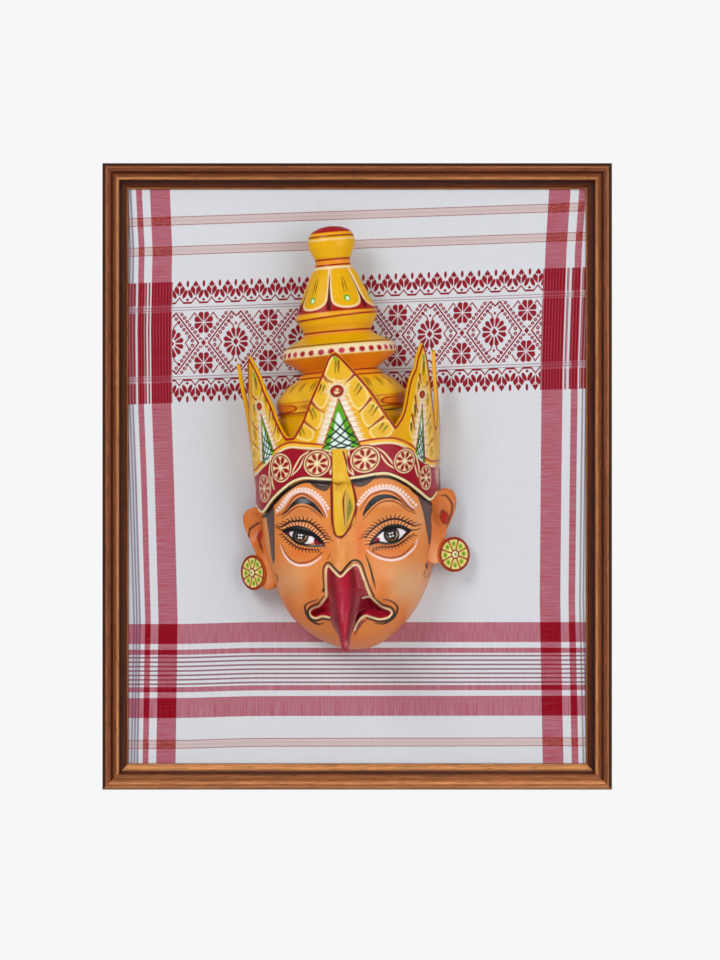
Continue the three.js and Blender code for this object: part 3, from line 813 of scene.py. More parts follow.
def hang(x, y, z):
    # Places on the upright mask to places at the wall: rolled, leaning and scaled
    turn = math.radians(mask["roll"])
    lean = mask["leanFace"] + (mask["leanCrown"] - mask["leanFace"]) * smooth((z - 20) / 230)
    across = x * math.cos(turn) - z * math.sin(turn) + lean * y
    up = x * math.sin(turn) + z * math.cos(turn)
    scale, (axisX, axisZ) = mask["scale"], mask["axis"]
    return np.column_stack([axisX + scale * across, mask["back"] + scale * y, axisZ + scale * up])


def onFace(across, up, depth):
    # Places measured level from the middle of the face to places at the wall
    scale, (x, z) = mask["scale"], mask["faceMiddle"]
    return np.column_stack([x + scale * across, mask["back"] - scale * depth, z + scale * up])


def headSize(z):
    t = np.clip((mask["cheekHeight"] - z) / (mask["cheekHeight"] + mask["chinDrop"]), 0, 1)
    level, half, depth = np.array(mask["head"]).T
    low = z < mask["cheekHeight"]
    return (np.where(low, mask["cheek"][0] * (1 - t**1.8) ** (1 / 1.8), np.interp(z, level, half)),
            np.where(low, mask["cheek"][1] * (1 - t**3) ** (1 / 3), np.interp(z, level, depth)))


def plan(u, half, depth):
    # Place round a U-shaped section
    side = mask["sideShare"] * depth
    turn = np.minimum(1, np.abs(u) / mask["bendEnd"]) * math.pi / 2
    back = np.clip((np.abs(u) - mask["bendEnd"]) / (1 - mask["bendEnd"]), 0, 1)
    power = 2 / mask["roundness"]
    x = np.sign(u) * half * np.sin(turn) ** power
    return x, -(side + (depth - side) * np.clip(np.cos(turn), 0, 1) ** power - back * side)


def table(rows, key, column, reach=1.5):
    # Reading between the rows of a table, with its corners rounded off
    rows = np.array(sorted(rows))
    shifts = np.linspace(-reach, reach, 5)
    return np.mean([np.interp(key + shift, rows[:, 0], rows[:, column]) for shift in shifts], axis=0)


def readings(sections, up):
    # Centre, half width, ridge depth and back depth of a beak
    return [table(sections, up, column) for column in (1, 2, 3, 4)]


def faceForm(points):
    x, z = mask["faceMiddle"]
    across, up = (points[:, 0] - x) / mask["scale"], (points[:, 2] - z) / mask["scale"]
    rise = sum(out * bell((across - a) / wide, (up - b) / high) ** 1.6 for a, b, wide, high, out in mask["forms"])
    return rise, across, up


# Painted lines of the face, in pixels of the photograph
lines = {
    "mouthLeft": [(328, 597), (319.3, 606.6), (313.5, 608.8), (310.2, 611.8), (311.3, 615.4), (315.7, 617.6),
        (322.3, 615.4), (329.6, 616.9), (334, 620), (334, 600)],
    "mouthRight": [(358, 600), (362, 596.2), (370, 595.6), (374.4, 601.5), (381.7, 607.4), (389, 610.3),
        (391.2, 613.2), (387.6, 616.9), (379.5, 618.4), (370.7, 616.2), (365.6, 614.7), (360.4, 617.6),
        (356, 624.2), (353, 629), (350, 620)],
    "eyeLeft": [(282.3, 530.6), (288.3, 527.8), (297.4, 526.6), (305, 528.4), (312, 531.6), (318.5, 537),
        (323.5, 544), (315, 545.2), (306.5, 544.8), (299.8, 543.6), (294.4, 541.2), (290.2, 538.2),
        (287, 533.2)],
    "eyeRight": [(411, 530.6), (405.6, 527.8), (400.3, 525.6), (393.6, 525), (386.9, 526.6), (380.2, 532),
        (374.8, 537.4), (371, 542.8), (378.2, 541), (385.5, 542.8), (393.6, 542.8), (400.3, 539.6),
        (407, 534.2)],
    "beakTop": [(325, 597), (325.4, 569), (328.2, 564.6), (334, 569.8), (340.6, 574.2), (347, 568),
        (354.6, 563), (359.7, 565), (364.1, 577), (367.8, 588), (370.4, 595.6), (362.5, 597.5), (360.6, 603),
        (345, 640), (329, 611)],
    "noseFold": [(365.6, 554.5), (370, 567), (372.9, 578), (375.8, 589)],
    # Soft light and shade: place, half size, colour, strength
    "glows": [(290, 584, 24, 22, (222, 162, 112), 0.8), (408, 584, 24, 22, (226, 172, 124), 0.95),
        (262, 560, 14, 40, "skinPale", 0.3), (286, 604, 14, 16, "skinShade", 0.6),
        (300, 502, 26, 9, (232, 150, 96), 0.6), (398, 503, 24, 8, (236, 160, 100), 0.6),
        (350, 645, 50, 22, "chin", 0.75), (300, 620, 22, 14, "chin", 0.6), (395, 625, 20, 16, "chin", 0.6),
        (345, 570, 10, 30, (232, 158, 84), 0.6), (312, 590, 9, 16, "skinShade", 0.65),
        (382, 590, 9, 16, "skinShade", 0.6), (318, 612, 16, 10, "skinShade", 0.7),
        (388, 612, 16, 10, "skinShade", 0.7), (302, 552, 20, 10, "skinShade", 0.75),
        (390, 549, 21, 9, "skinShade", 0.75), (298, 514, 24, 7, "skinShade", 0.3),
        (394, 512, 24, 7, "skinShade", 0.35), (300, 519, 16, 4, (234, 160, 104), 0.5),
        (392, 516, 16, 4, (238, 160, 92), 0.5), (324, 545, 6, 22, "skinShade", 0.3),
        (360, 540, 6, 22, "skinShade", 0.8), (345, 548, 7, 10, (226, 148, 76), 0.6),
        (345, 634, 16, 14, "skinShade", 0.4), (318, 640, 22, 10, (196, 122, 84), 0.5),
        (420, 520, 10, 18, (232, 162, 112), 0.6), (372, 515, 14, 12, (226, 136, 62), 0.5),
        (276, 560, 6, 40, "skinShade", 0.35), (428, 556, 6, 40, "skinShade", 0.35)],
    # Hair under the crown and in front of the ears, and the lines along it
    "locks": [[(307.7, 480), (318, 478), (328.6, 479), (329.6, 486), (325, 490.6), (317, 488), (311, 483.6)],
        [(269, 500), (277, 489), (288, 483), (290, 487), (284, 494), (276, 503), (270, 507)],
        [(353.5, 476), (365, 474), (376, 475), (372, 480), (364, 485.6), (356, 486), (353, 481)],
        [(402, 475), (412, 480), (420, 489), (426, 500), (419, 497), (409, 486)]],
    "sideburns": [[(262, 500), (268, 506), (273.2, 507), (273.6, 530), (273.9, 548), (274, 564), (271.6, 558),
         (268.6, 534), (265.4, 514)],
        [(416, 490.6), (424, 494), (430, 499), (437, 497), (437, 520), (435, 545), (431.6, 562), (430.8, 553),
         (427.2, 531), (422.8, 509)]],
    "hairEdges": [([(273.6, 507), (274, 530), (274.4, 560)], 0.9, (52, 36, 34)),
        ([(416, 490.6), (422.8, 509), (427.2, 531), (430.8, 553), (431.8, 562)], 1.0, (52, 36, 34)),
        ([(262, 516), (264.6, 516.4), (268.4, 511), (272.8, 504.8), (277.7, 498.4), (283.3, 493.6),
          (288.3, 490), (294.5, 485.6), (300.5, 482.8), (306.5, 481.6), (315, 482.4), (330, 483.6)], 2.8,
         "black"),
        ([(352, 481.6), (362, 480), (370, 478.4), (379.4, 477), (387, 477), (394.6, 478.8), (403.3, 483.2),
          (411, 487.6), (418.4, 493.6), (424.8, 499), (431, 503.6), (437, 503)], 2.8, "black"),
        ([(331.2, 482), (331.6, 500), (332.2, 520), (334.6, 533), (339.7, 537.6), (344.8, 534), (350.6, 526),
          (355.8, 512), (356, 500), (352.4, 484)], 2.4, "darkRed")],
    # Red glow in the mouth, lines at the lips, the two drawn edges and the folds round them
    "mouthGlow": [(363, 613), (370, 610), (380, 611), (390, 613), (386, 617.6), (374, 617), (365, 615.6)],
    "lips": [([(362.6, 598), (368, 596.8), (371.6, 597.8)], 1.6, "cream"),
        ([(366.6, 619.8), (361.4, 622.6), (357.4, 628.4), (354.6, 635)], [1.0, 3.4, 3.4, 1.2], (146, 62, 60)),
        ([(330.6, 618), (333, 624), (337, 632.6)], [1.6, 2.8, 1.2], (164, 92, 88))],
    "edges": [([(326.4, 597), (326.2, 570), (329.2, 566.4), (334.4, 571.8), (340.6, 576.6), (347.2, 570.4),
          (354.2, 565), (359.2, 566.8), (363.4, 578), (367.4, 589), (370.6, 597)],
         [(324, 592), (323.2, 569.2), (328.4, 562.4), (334.4, 568), (340.6, 572.8), (346.8, 566),
          (353.8, 560.2), (361, 563.4), (366, 577), (370, 588), (374, 596)]),
        ([(326, 597.6), (319.3, 606), (313.5, 608.2), (309.9, 611.4), (311.1, 616), (315.7, 618.2),
          (322.3, 616.2), (329.6, 617.6)],
         [(324, 596), (318, 603.4), (312, 606), (308, 610.6), (309.6, 617.6), (315.4, 620.6), (322.6, 618.8),
          (330, 620)]),
        ([(370.6, 596.6), (374.8, 601), (381.9, 606.8), (389.4, 609.8), (391.8, 613.2), (388, 617.6),
          (379.5, 619.2), (370.7, 617), (365.9, 615.6), (360.8, 618.4), (356.4, 625), (354.8, 630)],
         [(373, 596), (377, 600.4), (383, 604.8), (391, 607.4), (394.2, 613), (389.4, 619.4), (379.5, 621.6),
          (370.4, 619.2), (366.4, 618)])],
    "folds": [[(318.2, 599.3), (306.9, 603.7), (305, 608.8), (308.3, 617.6), (314.9, 622.8), (319.3, 624.2),
         (324.1, 622.8)],
        [(383.5, 599.3), (390.5, 600.8), (396.4, 605.2), (397.5, 609.6), (394.2, 616.9), (387.6, 622),
         (381.7, 623.9), (374.4, 623.1)]],
    "creases": [([(323.8, 586), (323, 590), (321.6, 592.6)], [0.5, 1.6, 0.5], "black"),
        ([(330.4, 552.5), (328.8, 556.6), (327, 559.6)], [0.4, 1.0, 0.4], "brown"),
        ([(424.6, 571), (424.4, 576), (427, 577.4), (429.4, 573)], 0.9, "brown"),
        ([(275.4, 573), (277.4, 577), (277, 582)], [0.6, 1.4, 0.6], "brown")],
    # Painted highlight down the beak's ridge and painted shade along its sides: line, width, colour, softness
    "beakShades": [
        ([(327.2, 566), (327.4, 590), (330, 606), (335, 622), (340.5, 642)], 4.6, (150, 22, 38), 2.0),
        ([(333, 574), (333.4, 598), (336.5, 618), (341, 640)], 5.0, (128, 4, 26), 2.8),
        ([(343, 573), (343.4, 600), (344.6, 622), (346, 644)], 9.0, "beakBright", 4.6),
        ([(352.6, 570), (353, 596), (351.4, 618), (348.4, 640)], 5.0, (124, 4, 24), 2.8)],
}


def maskPlaces(column, row):
    # Round the shell: a side, the front, the other side, then back along the inner wall
    side, wide, innerWide = mask["sideColumns"], mask["columns"], mask["innerColumns"]
    outer = 2 * side + wide
    share = (column - side) / wide * 2 - 1
    turn = np.arcsin(np.clip(0.985 * np.abs(share), 0, 1) ** (mask["roundness"] / 2))
    front = mask["bendEnd"] * turn / (math.pi / 2)
    start = front[column == side].max()
    inner = (column > outer) & (column < outer + innerWide + 2)
    u = np.select([column < side, column <= side + wide, column <= outer, inner],
                  [column / side * (1 - start) - 1, front * np.sign(share),
                   1 - (outer - column) / side * (1 - start), 1 - 2 * (column - outer - 1) / innerWide], -1)
    rowMarks, heights = np.array(mask["rows"], float).T
    level = np.interp(row, rowMarks, heights)
    lid = np.clip((rowMarks[-1] - row) / (rowMarks[-1] - rowMarks[-2]), 0, 1)
    low, high, wall = heights[0], heights[-1], mask["wall"]
    z = np.where(inner, low + wall + (level - low) / (high - low) * (high - low - 2 * wall), level)
    half, depth = [np.where(inner, np.maximum(size - wall, 0), size) for size in headSize(level)]
    x, y = plan(u, half, depth)
    x = x - mask["leftJaw"] * bell((z + 66) / 42) * smooth(-2 * u)
    points = hang(x * lid, y * lid, z)
    rise, across, up = faceForm(points)
    # Inside, the wall keeps clear of the mouth
    rise = rise - np.where(inner, 12 * bell((across - 2) / 55, (up + 58) / 30), 0)
    points[:, 1] -= smooth(1.4 - 1.6 * np.abs(u)) * (row <= rowMarks[-2]) * rise
    return points, u, inner, across, up


def carveFace(points, u, inner, across, up):
    # Beak root, mouth, lids and folds, raised or sunk towards the camera
    shown = ~inner & (np.abs(u) < 0.8)
    depth = (mask["back"] - points[:, 1]) / mask["scale"]
    centre, half, ridge, back = readings(mask["beak"], up)
    root = back + (ridge - back) * (1 - np.clip((across - centre) / half, -1, 1) ** 2) ** 0.4
    root = root - 30 * smooth((up - 1) / 9) - 60 * smooth((-33 - up) / 20)
    root[(np.abs(across - 0.5) > 32) | (up < -66)] = 0
    blend = 3.0
    depth[shown] += blend * np.log1p(np.exp(np.clip((root - depth)[shown] / blend, -30, 30)))
    shape = Paint(*project(points), "skin")
    rise = np.zeros(len(points))
    for name, sink, reach, rim, rimAt, rimWidth in mask["carvings"]:
        line = curve(lines[name], True)
        index = shape.near(line, 8)
        away = shape.signed(index, line)
        rise[index] -= sink * smooth(away / reach) - rim * bell((away + rimAt) / rimWidth)
    line = curve(lines["noseFold"])
    index = shape.near(line, 8)
    rise[index] -= 0.9 * bell(shape.distance(index, line)[0] / 2.4)
    depth[shown] += rise[shown]
    points[shown, 1] = mask["back"] - mask["scale"] * depth[shown]
    return points


brow = {
    "left": {
        "hair": [(281, 515.8), (286.5, 510.3), (291.4, 503.6), (297.4, 498.2), (303.5, 496.7), (309.5, 499.4),
            (315.6, 504.2), (320.5, 510.3), (324.7, 518.2), (321.7, 515.2), (315.6, 509.7), (309.5, 505.5),
            (303.5, 503.9), (297.4, 504.2), (291.4, 507.9), (286.5, 512.7)],
        "line": [(277.4, 515.8), (284, 512), (289, 504.2), (293.8, 497.6), (301.7, 493.6), (309.5, 497),
            (316.8, 503), (321.7, 509), (325.9, 516.4)],
        "white": [(276.2, 513), (281.7, 507.9), (287, 500), (292.6, 493.9), (301, 491.2), (309.5, 492.7),
            (317.4, 498.2), (322.9, 505.5), (327, 516.4)],
        "under": [(281.5, 518), (286.5, 515), (291.6, 510.4), (297.6, 506.8), (303.5, 506.4), (309.5, 508),
            (315.6, 512.2), (321.5, 517.6)],
        "dots": [(277, 509.7), (281, 504.5), (285.6, 497.8), (291, 492.2), (297, 489), (303, 488.3),
            (309.6, 489.4), (316, 492.8), (321.4, 498), (325.6, 503.6), (328, 508)],
    },
    "right": {
        "hair": [(362.8, 516.5), (364.1, 509.8), (368.8, 501.8), (374.8, 496.4), (381.5, 494.4), (388.2, 494.4),
            (394.9, 496.4), (400.3, 499.8), (405.6, 505.1), (413.7, 511.2), (405.6, 506.5), (400.3, 501.8),
            (393.6, 498.8), (386.9, 498.4), (380.2, 500.5), (373.5, 505.1), (368, 510.5)],
        "line": [(360, 510.5), (368.8, 497), (376.2, 493), (383.5, 490.7), (391, 491.7), (398.3, 495.8),
            (403.6, 501), (409.7, 507), (414.3, 511)],
        "white": [(358.5, 506), (368.8, 493.8), (376.2, 489.7), (383.5, 488.4), (391.6, 489), (399, 492.4),
            (405.6, 499), (410.3, 505.8), (414.3, 507.8)],
        "under": [(363.4, 519.2), (370.1, 511.8), (377.5, 504.5), (385.5, 501.1), (393.6, 501.5),
            (400.3, 504.5), (407, 509.8), (415.7, 513.5)],
        "dots": [(358, 503.8), (361, 498.2), (365.6, 492.8), (371, 488.9), (377, 486.2), (383, 485.2),
            (390, 485.4), (397, 487.6), (403, 491.6), (408.4, 496.6), (412.6, 501.2), (416, 504.5)],
    },
}

eye = {
    "left": {
        "crease": [(275.6, 524.8), (279.2, 527), (284, 525.5), (289, 522.4), (294.4, 521.2), (301, 520.9),
            (307.7, 521.8), (313, 524.8), (319.2, 530.3), (323.5, 535.2), (326.5, 539.7)],
        "tail": [(275, 526.7), (279.2, 529), (283.5, 530.4)],
        "lidTop": [(281, 530.6), (285.6, 528), (290, 526.5), (297, 525.6), (304, 526.8), (310, 529.5),
            (315, 533), (320, 537), (324.7, 543)],
        "lidLow": [(284.6, 532.8), (289, 532), (294, 531.4), (300.5, 533.2), (306, 535.6), (312, 536.6),
            (318, 541.6), (323.6, 544.8)],
        "white": [(289.4, 533.4), (292, 531), (297, 530), (303.5, 531), (309, 533), (313.2, 536), (316.6, 540),
            (311, 543.2), (305.5, 543.8), (299.8, 543.2), (296, 541), (292.2, 537.8)],
        "iris": (300.5, 536), "irisSize": 8.3,
        "dots": [(298.9, 534.9), (301.4, 535.2), (298.8, 537.8), (301.2, 538.1)],
        "light": [(305, 532), (306.6, 535), (305.8, 538.4)],
        "caruncle": [(314.4, 538.6), (317.5, 540), (322.8, 544.5), (317, 545), (313.8, 543)],
        "outer": [(282, 531.4), (286, 530.6), (291.4, 531.6), (293, 538.4), (289, 536.8), (284.6, 533.8)],
        "under": [(286, 532.8), (289.5, 536), (293, 539.4), (298, 543), (304, 544.6), (310, 545.6), (317, 546),
            (324.4, 545.4)],
        "second": [(281.6, 533.4), (286, 538.4), (291.6, 543.6), (297.6, 547.4), (304, 549), (311, 549.6),
            (319, 549.8)],
        "bag": [(281.7, 544.8), (285.3, 552.7), (290.2, 558.8), (296.2, 562.4), (301.7, 563), (308.3, 561.8),
            (314.4, 558.8), (319.8, 554.5), (323.2, 551.8)],
        "bagWhite": [(280.6, 545.6), (284, 554), (289.2, 560.6), (295.8, 564.6), (301.9, 565.5), (309.4, 564.4),
            (316, 561), (321.8, 556.2)],
    },
    "right": {
        "crease": [(420.6, 524.4), (414, 525.8), (408, 523), (400, 519.6), (392, 519), (384, 521.5),
            (377, 525.6), (370, 532), (365.5, 538)],
        "tail": [(421, 527.9), (416, 529.8), (410, 530)],
        "lidTop": [(412.8, 530.6), (409.6, 528.4), (404, 525.6), (398, 524), (390, 524.4), (385, 526.2),
            (378, 532), (371, 540), (369.4, 544)],
        "lidLow": [(409, 531.8), (404, 529.9), (399.5, 528.6), (394, 528.6), (388, 530), (382, 532.6),
            (376, 538), (371.4, 544)],
        "white": [(405.4, 531.6), (400, 528.6), (394, 527.6), (388, 528.4), (382, 531.6), (378.4, 535.6),
            (376.4, 540), (381, 541.6), (388.5, 542.4), (395, 541.2), (400, 538.2), (403.4, 534.6)],
        "iris": (391.5, 534.8), "irisSize": 8.0,
        "dots": [(389.6, 533.6), (392.2, 532.9), (390.4, 536.6), (393, 535.8)],
        "light": [(396.4, 531.4), (397.2, 534.6), (396, 538)],
        "caruncle": [(378.6, 537.6), (374.6, 538.8), (370, 543.4), (376, 542.4), (380, 541.2)],
        "outer": [(402, 529.8), (407, 530.2), (411.4, 530.8), (407.6, 533.6), (403, 535.4)],
        "under": [(410, 531.5), (405.4, 535), (400.6, 539.2), (394.6, 542.4), (386, 543.4), (378, 542.2),
            (370, 544.6)],
        "second": [(414, 533.8), (408.8, 537), (403.6, 541.4), (396.6, 545.4), (388, 547), (379.6, 547),
            (373, 548.6)],
        "bag": [(413.7, 544), (409, 549.3), (401.6, 555.4), (392.2, 557.7), (382.9, 556.4), (374.8, 552.7),
            (368.1, 547.3)],
        "bagWhite": [(417, 539.4), (415.2, 546.6), (410, 552.2), (402.4, 557.8), (392.4, 560.2), (382.2, 558.8),
            (373, 555), (367, 550.4)],
    },
}


def alongLine(points, count, start=0.0, end=1.0):
    # Evenly spread places on a line, with the direction across it
    line = curve(points)
    reach = lengths(line)
    wanted = np.linspace(start, end, count) * reach[-1]
    x, y = [np.interp(wanted, reach, part) for part in line.T]
    dx, dy = np.gradient(x), np.gradient(y)
    return np.column_stack([x, y]), np.column_stack([dy, -dx]) / np.hypot(dx, dy)[:, None]


def lashes(paint, points, gap, length, lean, side, colour, width, start, end):
    # A row of bent hairs or dabs standing off a line
    count = int(lengths(curve(points))[-1] * (end - start) / gap) + 1
    places, outward = alongLine(points, count, start, end)
    for place, out, share in zip(places, outward, np.linspace(-1, 1, count)):
        bend = np.array([-out[1], out[0]]) * lean * length * (share + 0.15)
        middle = place + side * out * length * 0.5 + bend * 0.25
        tip = place + side * out * length + bend
        paint.stroke([place, middle, tip], [width, width * 0.8, width * 0.4], colour)


def paintBrow(paint, parts):
    paint.strokes([(parts["white"], [0.8, 2.4, 3.0, 3.0, 2.8, 1.4], (232, 178, 168)),
                   (parts["white"], [0.6, 1.6, 2.1, 2.1, 1.9, 0.9], (246, 220, 216))])
    for x, y in alongLine(parts["dots"], 21)[0]:
        paint.dot(x, y + 0.4, 1.35, 1.35, "softWhite")
    paint.strokes([(parts["line"], [0.8, 1.6, 1.8, 1.7, 1.2], (150, 56, 20)),
                   (parts["under"], [0.6, 1.2, 1.2, 0.8], (120, 44, 18))])
    paint.fill(parts["hair"], (12, 13, 20), 0.25)
    sheen, _ = alongLine(parts["hair"][:9], 14, 0.2, 0.8)
    for (x, y), (nextX, _) in zip(sheen, np.roll(sheen, -1, 0)):
        paint.stroke([(x, y + 1.6), (x + (nextX - x) * 0.3, y + 4.6)], 0.35, (58, 68, 90))


def paintEye(paint, parts):
    side = 1 if parts["lidTop"][0][0] < parts["lidTop"][-1][0] else -1
    lash, peach = (44, 6, 8), (250, 172, 116)

    def hairs(name, *shape):
        lashes(paint, parts[name], *shape)

    paint.stroke(parts["bagWhite"], [0.6, 1.8, 2.2, 1.8, 0.6], (250, 226, 222))
    paint.stroke(parts["bag"], [0.7, 1.5, 1.7, 1.5, 0.7], (160, 64, 26))
    hairs("crease", 3.3, 4.6, 1.1, side, lash, 1.6, 0.16, 0.98)
    hairs("lidTop", 2.9, 3.9, 0.5, side, peach, 1.6, 0.1, 0.97)
    hairs("lidTop", 2.9, 4.3, 0.6, side, lash, 1.2, 0.14, 1)
    paint.stroke(parts["crease"], [1.0, 2.0, 2.2, 2.0, 1.2], lash)
    paint.stroke(parts["tail"], [0.6, 1.5], lash)
    hairs("under", 2.5, 2.8, 0.4, -side, peach, 1.5, 0.06, 0.98)
    hairs("under", 2.5, 3.4, 0.5, -side, lash, 1.0, 0.1, 1)
    hairs("second", 3.0, 3.2, 0.9, -side, lash, 1.3, 0.02, 0.98)
    paint.fill(parts["outer"], (110, 10, 30), 0.15)
    paint.fill(parts["white"], (240, 234, 240), 0.12)
    (x, y), size = parts["iris"], parts["irisSize"]
    paint.dot(x, y, size, size, (12, 8, 8), 0.12)
    paint.dot(x, y, size - 2.1, size - 2.1, (88, 68, 54), 0.12)
    paint.dot(x + 0.3, y + 2.6, size - 3.4, size - 4.6, (132, 88, 34), 0.12)
    for way in spokes(16):
        paint.stroke([(x, y) + way * reach for reach in (3.2, size - 2)], 0.5, (60, 42, 32))
    # Painted highlight: a light crescent beside the pupil
    paint.stroke(parts["light"], [0.6, 1.3, 0.6], (190, 172, 146))
    # Painted shadow of the upper lid over the top of the iris
    paint.glow(x, y - 5.4, 6, 2.6, (16, 10, 10), 0.85)
    paint.dot(x, y + 0.3, 4.3, 4.3, (8, 7, 8), 0.12)
    # Painted highlights: four white dots on the pupil
    for dotX, dotY in parts["dots"]:
        paint.dot(dotX, dotY, 0.85, 0.85, (248, 248, 250), 0.12)
    paint.fill(parts["caruncle"], (132, 12, 44), 0.15)
    paint.fill(parts["lidTop"] + parts["lidLow"][::-1], (8, 6, 6), 0.25, rounded=False)
    paint.stroke(parts["under"], [1.7, 2.7, 2.6, 2.0], (12, 6, 6), 0.25)
    paint.stroke(parts["second"], [0.6, 1.5, 1.5, 0.8], (70, 14, 10))


def shadeBeak(paint):
    for line, width, colour, edge in lines["beakShades"]:
        paint.stroke(line, width, colour, 0.36, edge=edge)


def paintBeakRoot(paint):
    # The beak's root on the face, kept inside its drawn edge
    line = curve(lines["beakTop"], True)
    index = paint.near(line, 1)
    outside = np.ones(len(paint.x), bool)
    outside[index] = paint.signed(index, line) < 0
    before, gloss = paint.colour.copy(), paint.gloss.copy()
    paint.fill(lines["beakTop"], "beak", 0.36)
    shadeBeak(paint)
    # Painted reflection down the right shoulder: a mauve band with a paler line in it
    paint.stroke([(357, 560), (360.6, 578), (364, 592), (362, 602)], 8.6, (168, 52, 66), 0.36, edge=3)
    paint.stroke([(357.4, 575), (359, 590), (358.6, 602)], 1.6, (176, 80, 92), 0.36, edge=1.6)
    paint.colour[outside], paint.gloss[outside] = before[outside], gloss[outside]


def paintFace(points, inner):
    paint = Paint(*project(points), "skin", 0.62, 0.36)
    paint.glows(lines["glows"])
    # Hair under the crown and in front of the ears
    for lock in lines["locks"]:
        paint.fill(lock, "hair", 0.4)
        paint.stroke(lock, 0.9, (44, 30, 28), closed=True)
        first, last = np.array(lock[0], float), np.array(lock[len(lock) // 2], float)
        middle, sag = np.mean(lock, axis=0), (last - first)[::-1] * (-0.12, 0.12)
        light, dark = (150, 124, 116), (50, 34, 32)
        for share, shade in ((-1.1, light), (-0.4, dark), (0.3, (146, 118, 108)), (1, dark)):
            paint.stroke([first, middle + sag * share, last], [0.5, 0.9, 0.5], shade)
    for sideburn in lines["sideburns"]:
        paint.fill(sideburn, "hair", 0.4)
    paint.strokes(lines["hairEdges"])
    for parts in brow.values():
        paintBrow(paint, parts)
    for parts in eye.values():
        paintEye(paint, parts)
    # Beak root, its two drawn edges, the mouth and the folds round it
    paintBeakRoot(paint)
    paint.soft = 0.7
    paint.fill(lines["mouthLeft"], (196, 26, 54), 0.4)
    paint.fill(lines["mouthRight"], (132, 14, 34), 0.4)
    paint.fill(lines["mouthGlow"], (206, 28, 60), 0.4, edge=3)
    paint.strokes(lines["lips"])
    for inside, outside in lines["edges"]:
        paint.stroke(outside, [1.1, 2.2, 2.2, 1.6], "black")
        paint.stroke(inside, 1.8, "cream")
    for fold in (*lines["folds"], lines["noseFold"]):
        paint.stroke(fold, [0.7, 1.8, 2.1, 1.9, 0.6], "black")
    paint.strokes(lines["creases"])
    paint.dot(426.7, 566, 1.3, 3.2, (60, 20, 12))
    # Under the collar the head is yellow, and its inner side is plain brown
    paint.colour[paint.y < 455] = linear("yellow")
    paint.colour[inner] = linear((150, 116, 82))
    paint.gloss[inner] = 0.8
    return paint


def addMask():
    def place(column, row):
        points, u, inner, across, up = maskPlaces(column, row)
        return carveFace(points, u, inner, across, up), inner

    columns = 2 * mask["sideColumns"] + mask["columns"] + mask["innerColumns"] + 2
    mesh, points, inner = gridMesh("mask_face_painted", columns, mask["rows"][-1][0], place)
    finishPainted(mesh, paintFace(points, inner), skinMaterial, "painted_skin", "mask_face")


skinMaterial = paintedMaterial("painted_skin", 0.16, (1, 1, 0.35), 0.3)
addMask()


def hornMesh(name, sections, top, rows, columns, sink, base):
    # One closed horn: a rounded front, a flat back, and ends drawn together
    backColumns = 6
    low = sections[-1][0]

    def place(column, row):
        share = np.clip((row - 1) / (rows - 2), 0, 1)
        up = top + (low - top) * (1 - (1 - share) ** 1.15)
        centre, half, ridge, back = readings(sections, up)
        # The root stands just inside the one on the face
        hidden = sink * smooth((up + 33) / 8)
        half = half - hidden
        turn = math.pi * (1 - np.clip(column / columns, 0, 1))
        rear = column > columns
        across = centre + half * np.where(rear, 1 - 2 * (column - columns) / backColumns, np.cos(turn))
        depth = back + (ridge - back) * np.where(rear, 0, np.clip(np.sin(turn), 0, 1) ** 0.8) - hidden
        ends = (row == 0) | (row == rows)
        return onFace(np.where(ends, centre, across), up, np.where(ends, (ridge + back) / 2, depth)), rear

    mesh, points, rear = gridMesh(name, columns + backColumns, rows, place)
    return mesh, Paint(*project(points), base, 0.7, 0.36), rear


def addBeak():
    mesh, paint, rear = hornMesh("beak_hook", mask["beak"], -24, 154, 84, 0.8, "beak")
    shadeBeak(paint)
    # Painted reflection down the hook's right side, then a painted highlight at its tip
    paint.stroke([(357.6, 592), (357.4, 606), (354, 622), (350, 638)], 3.2, (140, 44, 58), 0.36, edge=2)
    paint.glow(346.5, 644, 2.2, 3.6, (196, 130, 130), 0.6)
    paint.colour[rear] = linear((92, 14, 26))
    finishPainted(mesh, paint, beakMaterial, "painted_skin")
    mesh, paint, _ = hornMesh("beak_lower", mask["lowerBeak"], -52, 60, 40, 0, "mauve")
    paint.stroke([(365.9, 615.6), (360.8, 618.4), (356.4, 625), (354.6, 631)], 3.2, (128, 66, 58))
    paint.stroke([(329, 616), (333, 624), (336.5, 632)], 3.0, (150, 84, 78))
    finishPainted(mesh, paint, beakMaterial, "painted_skin")


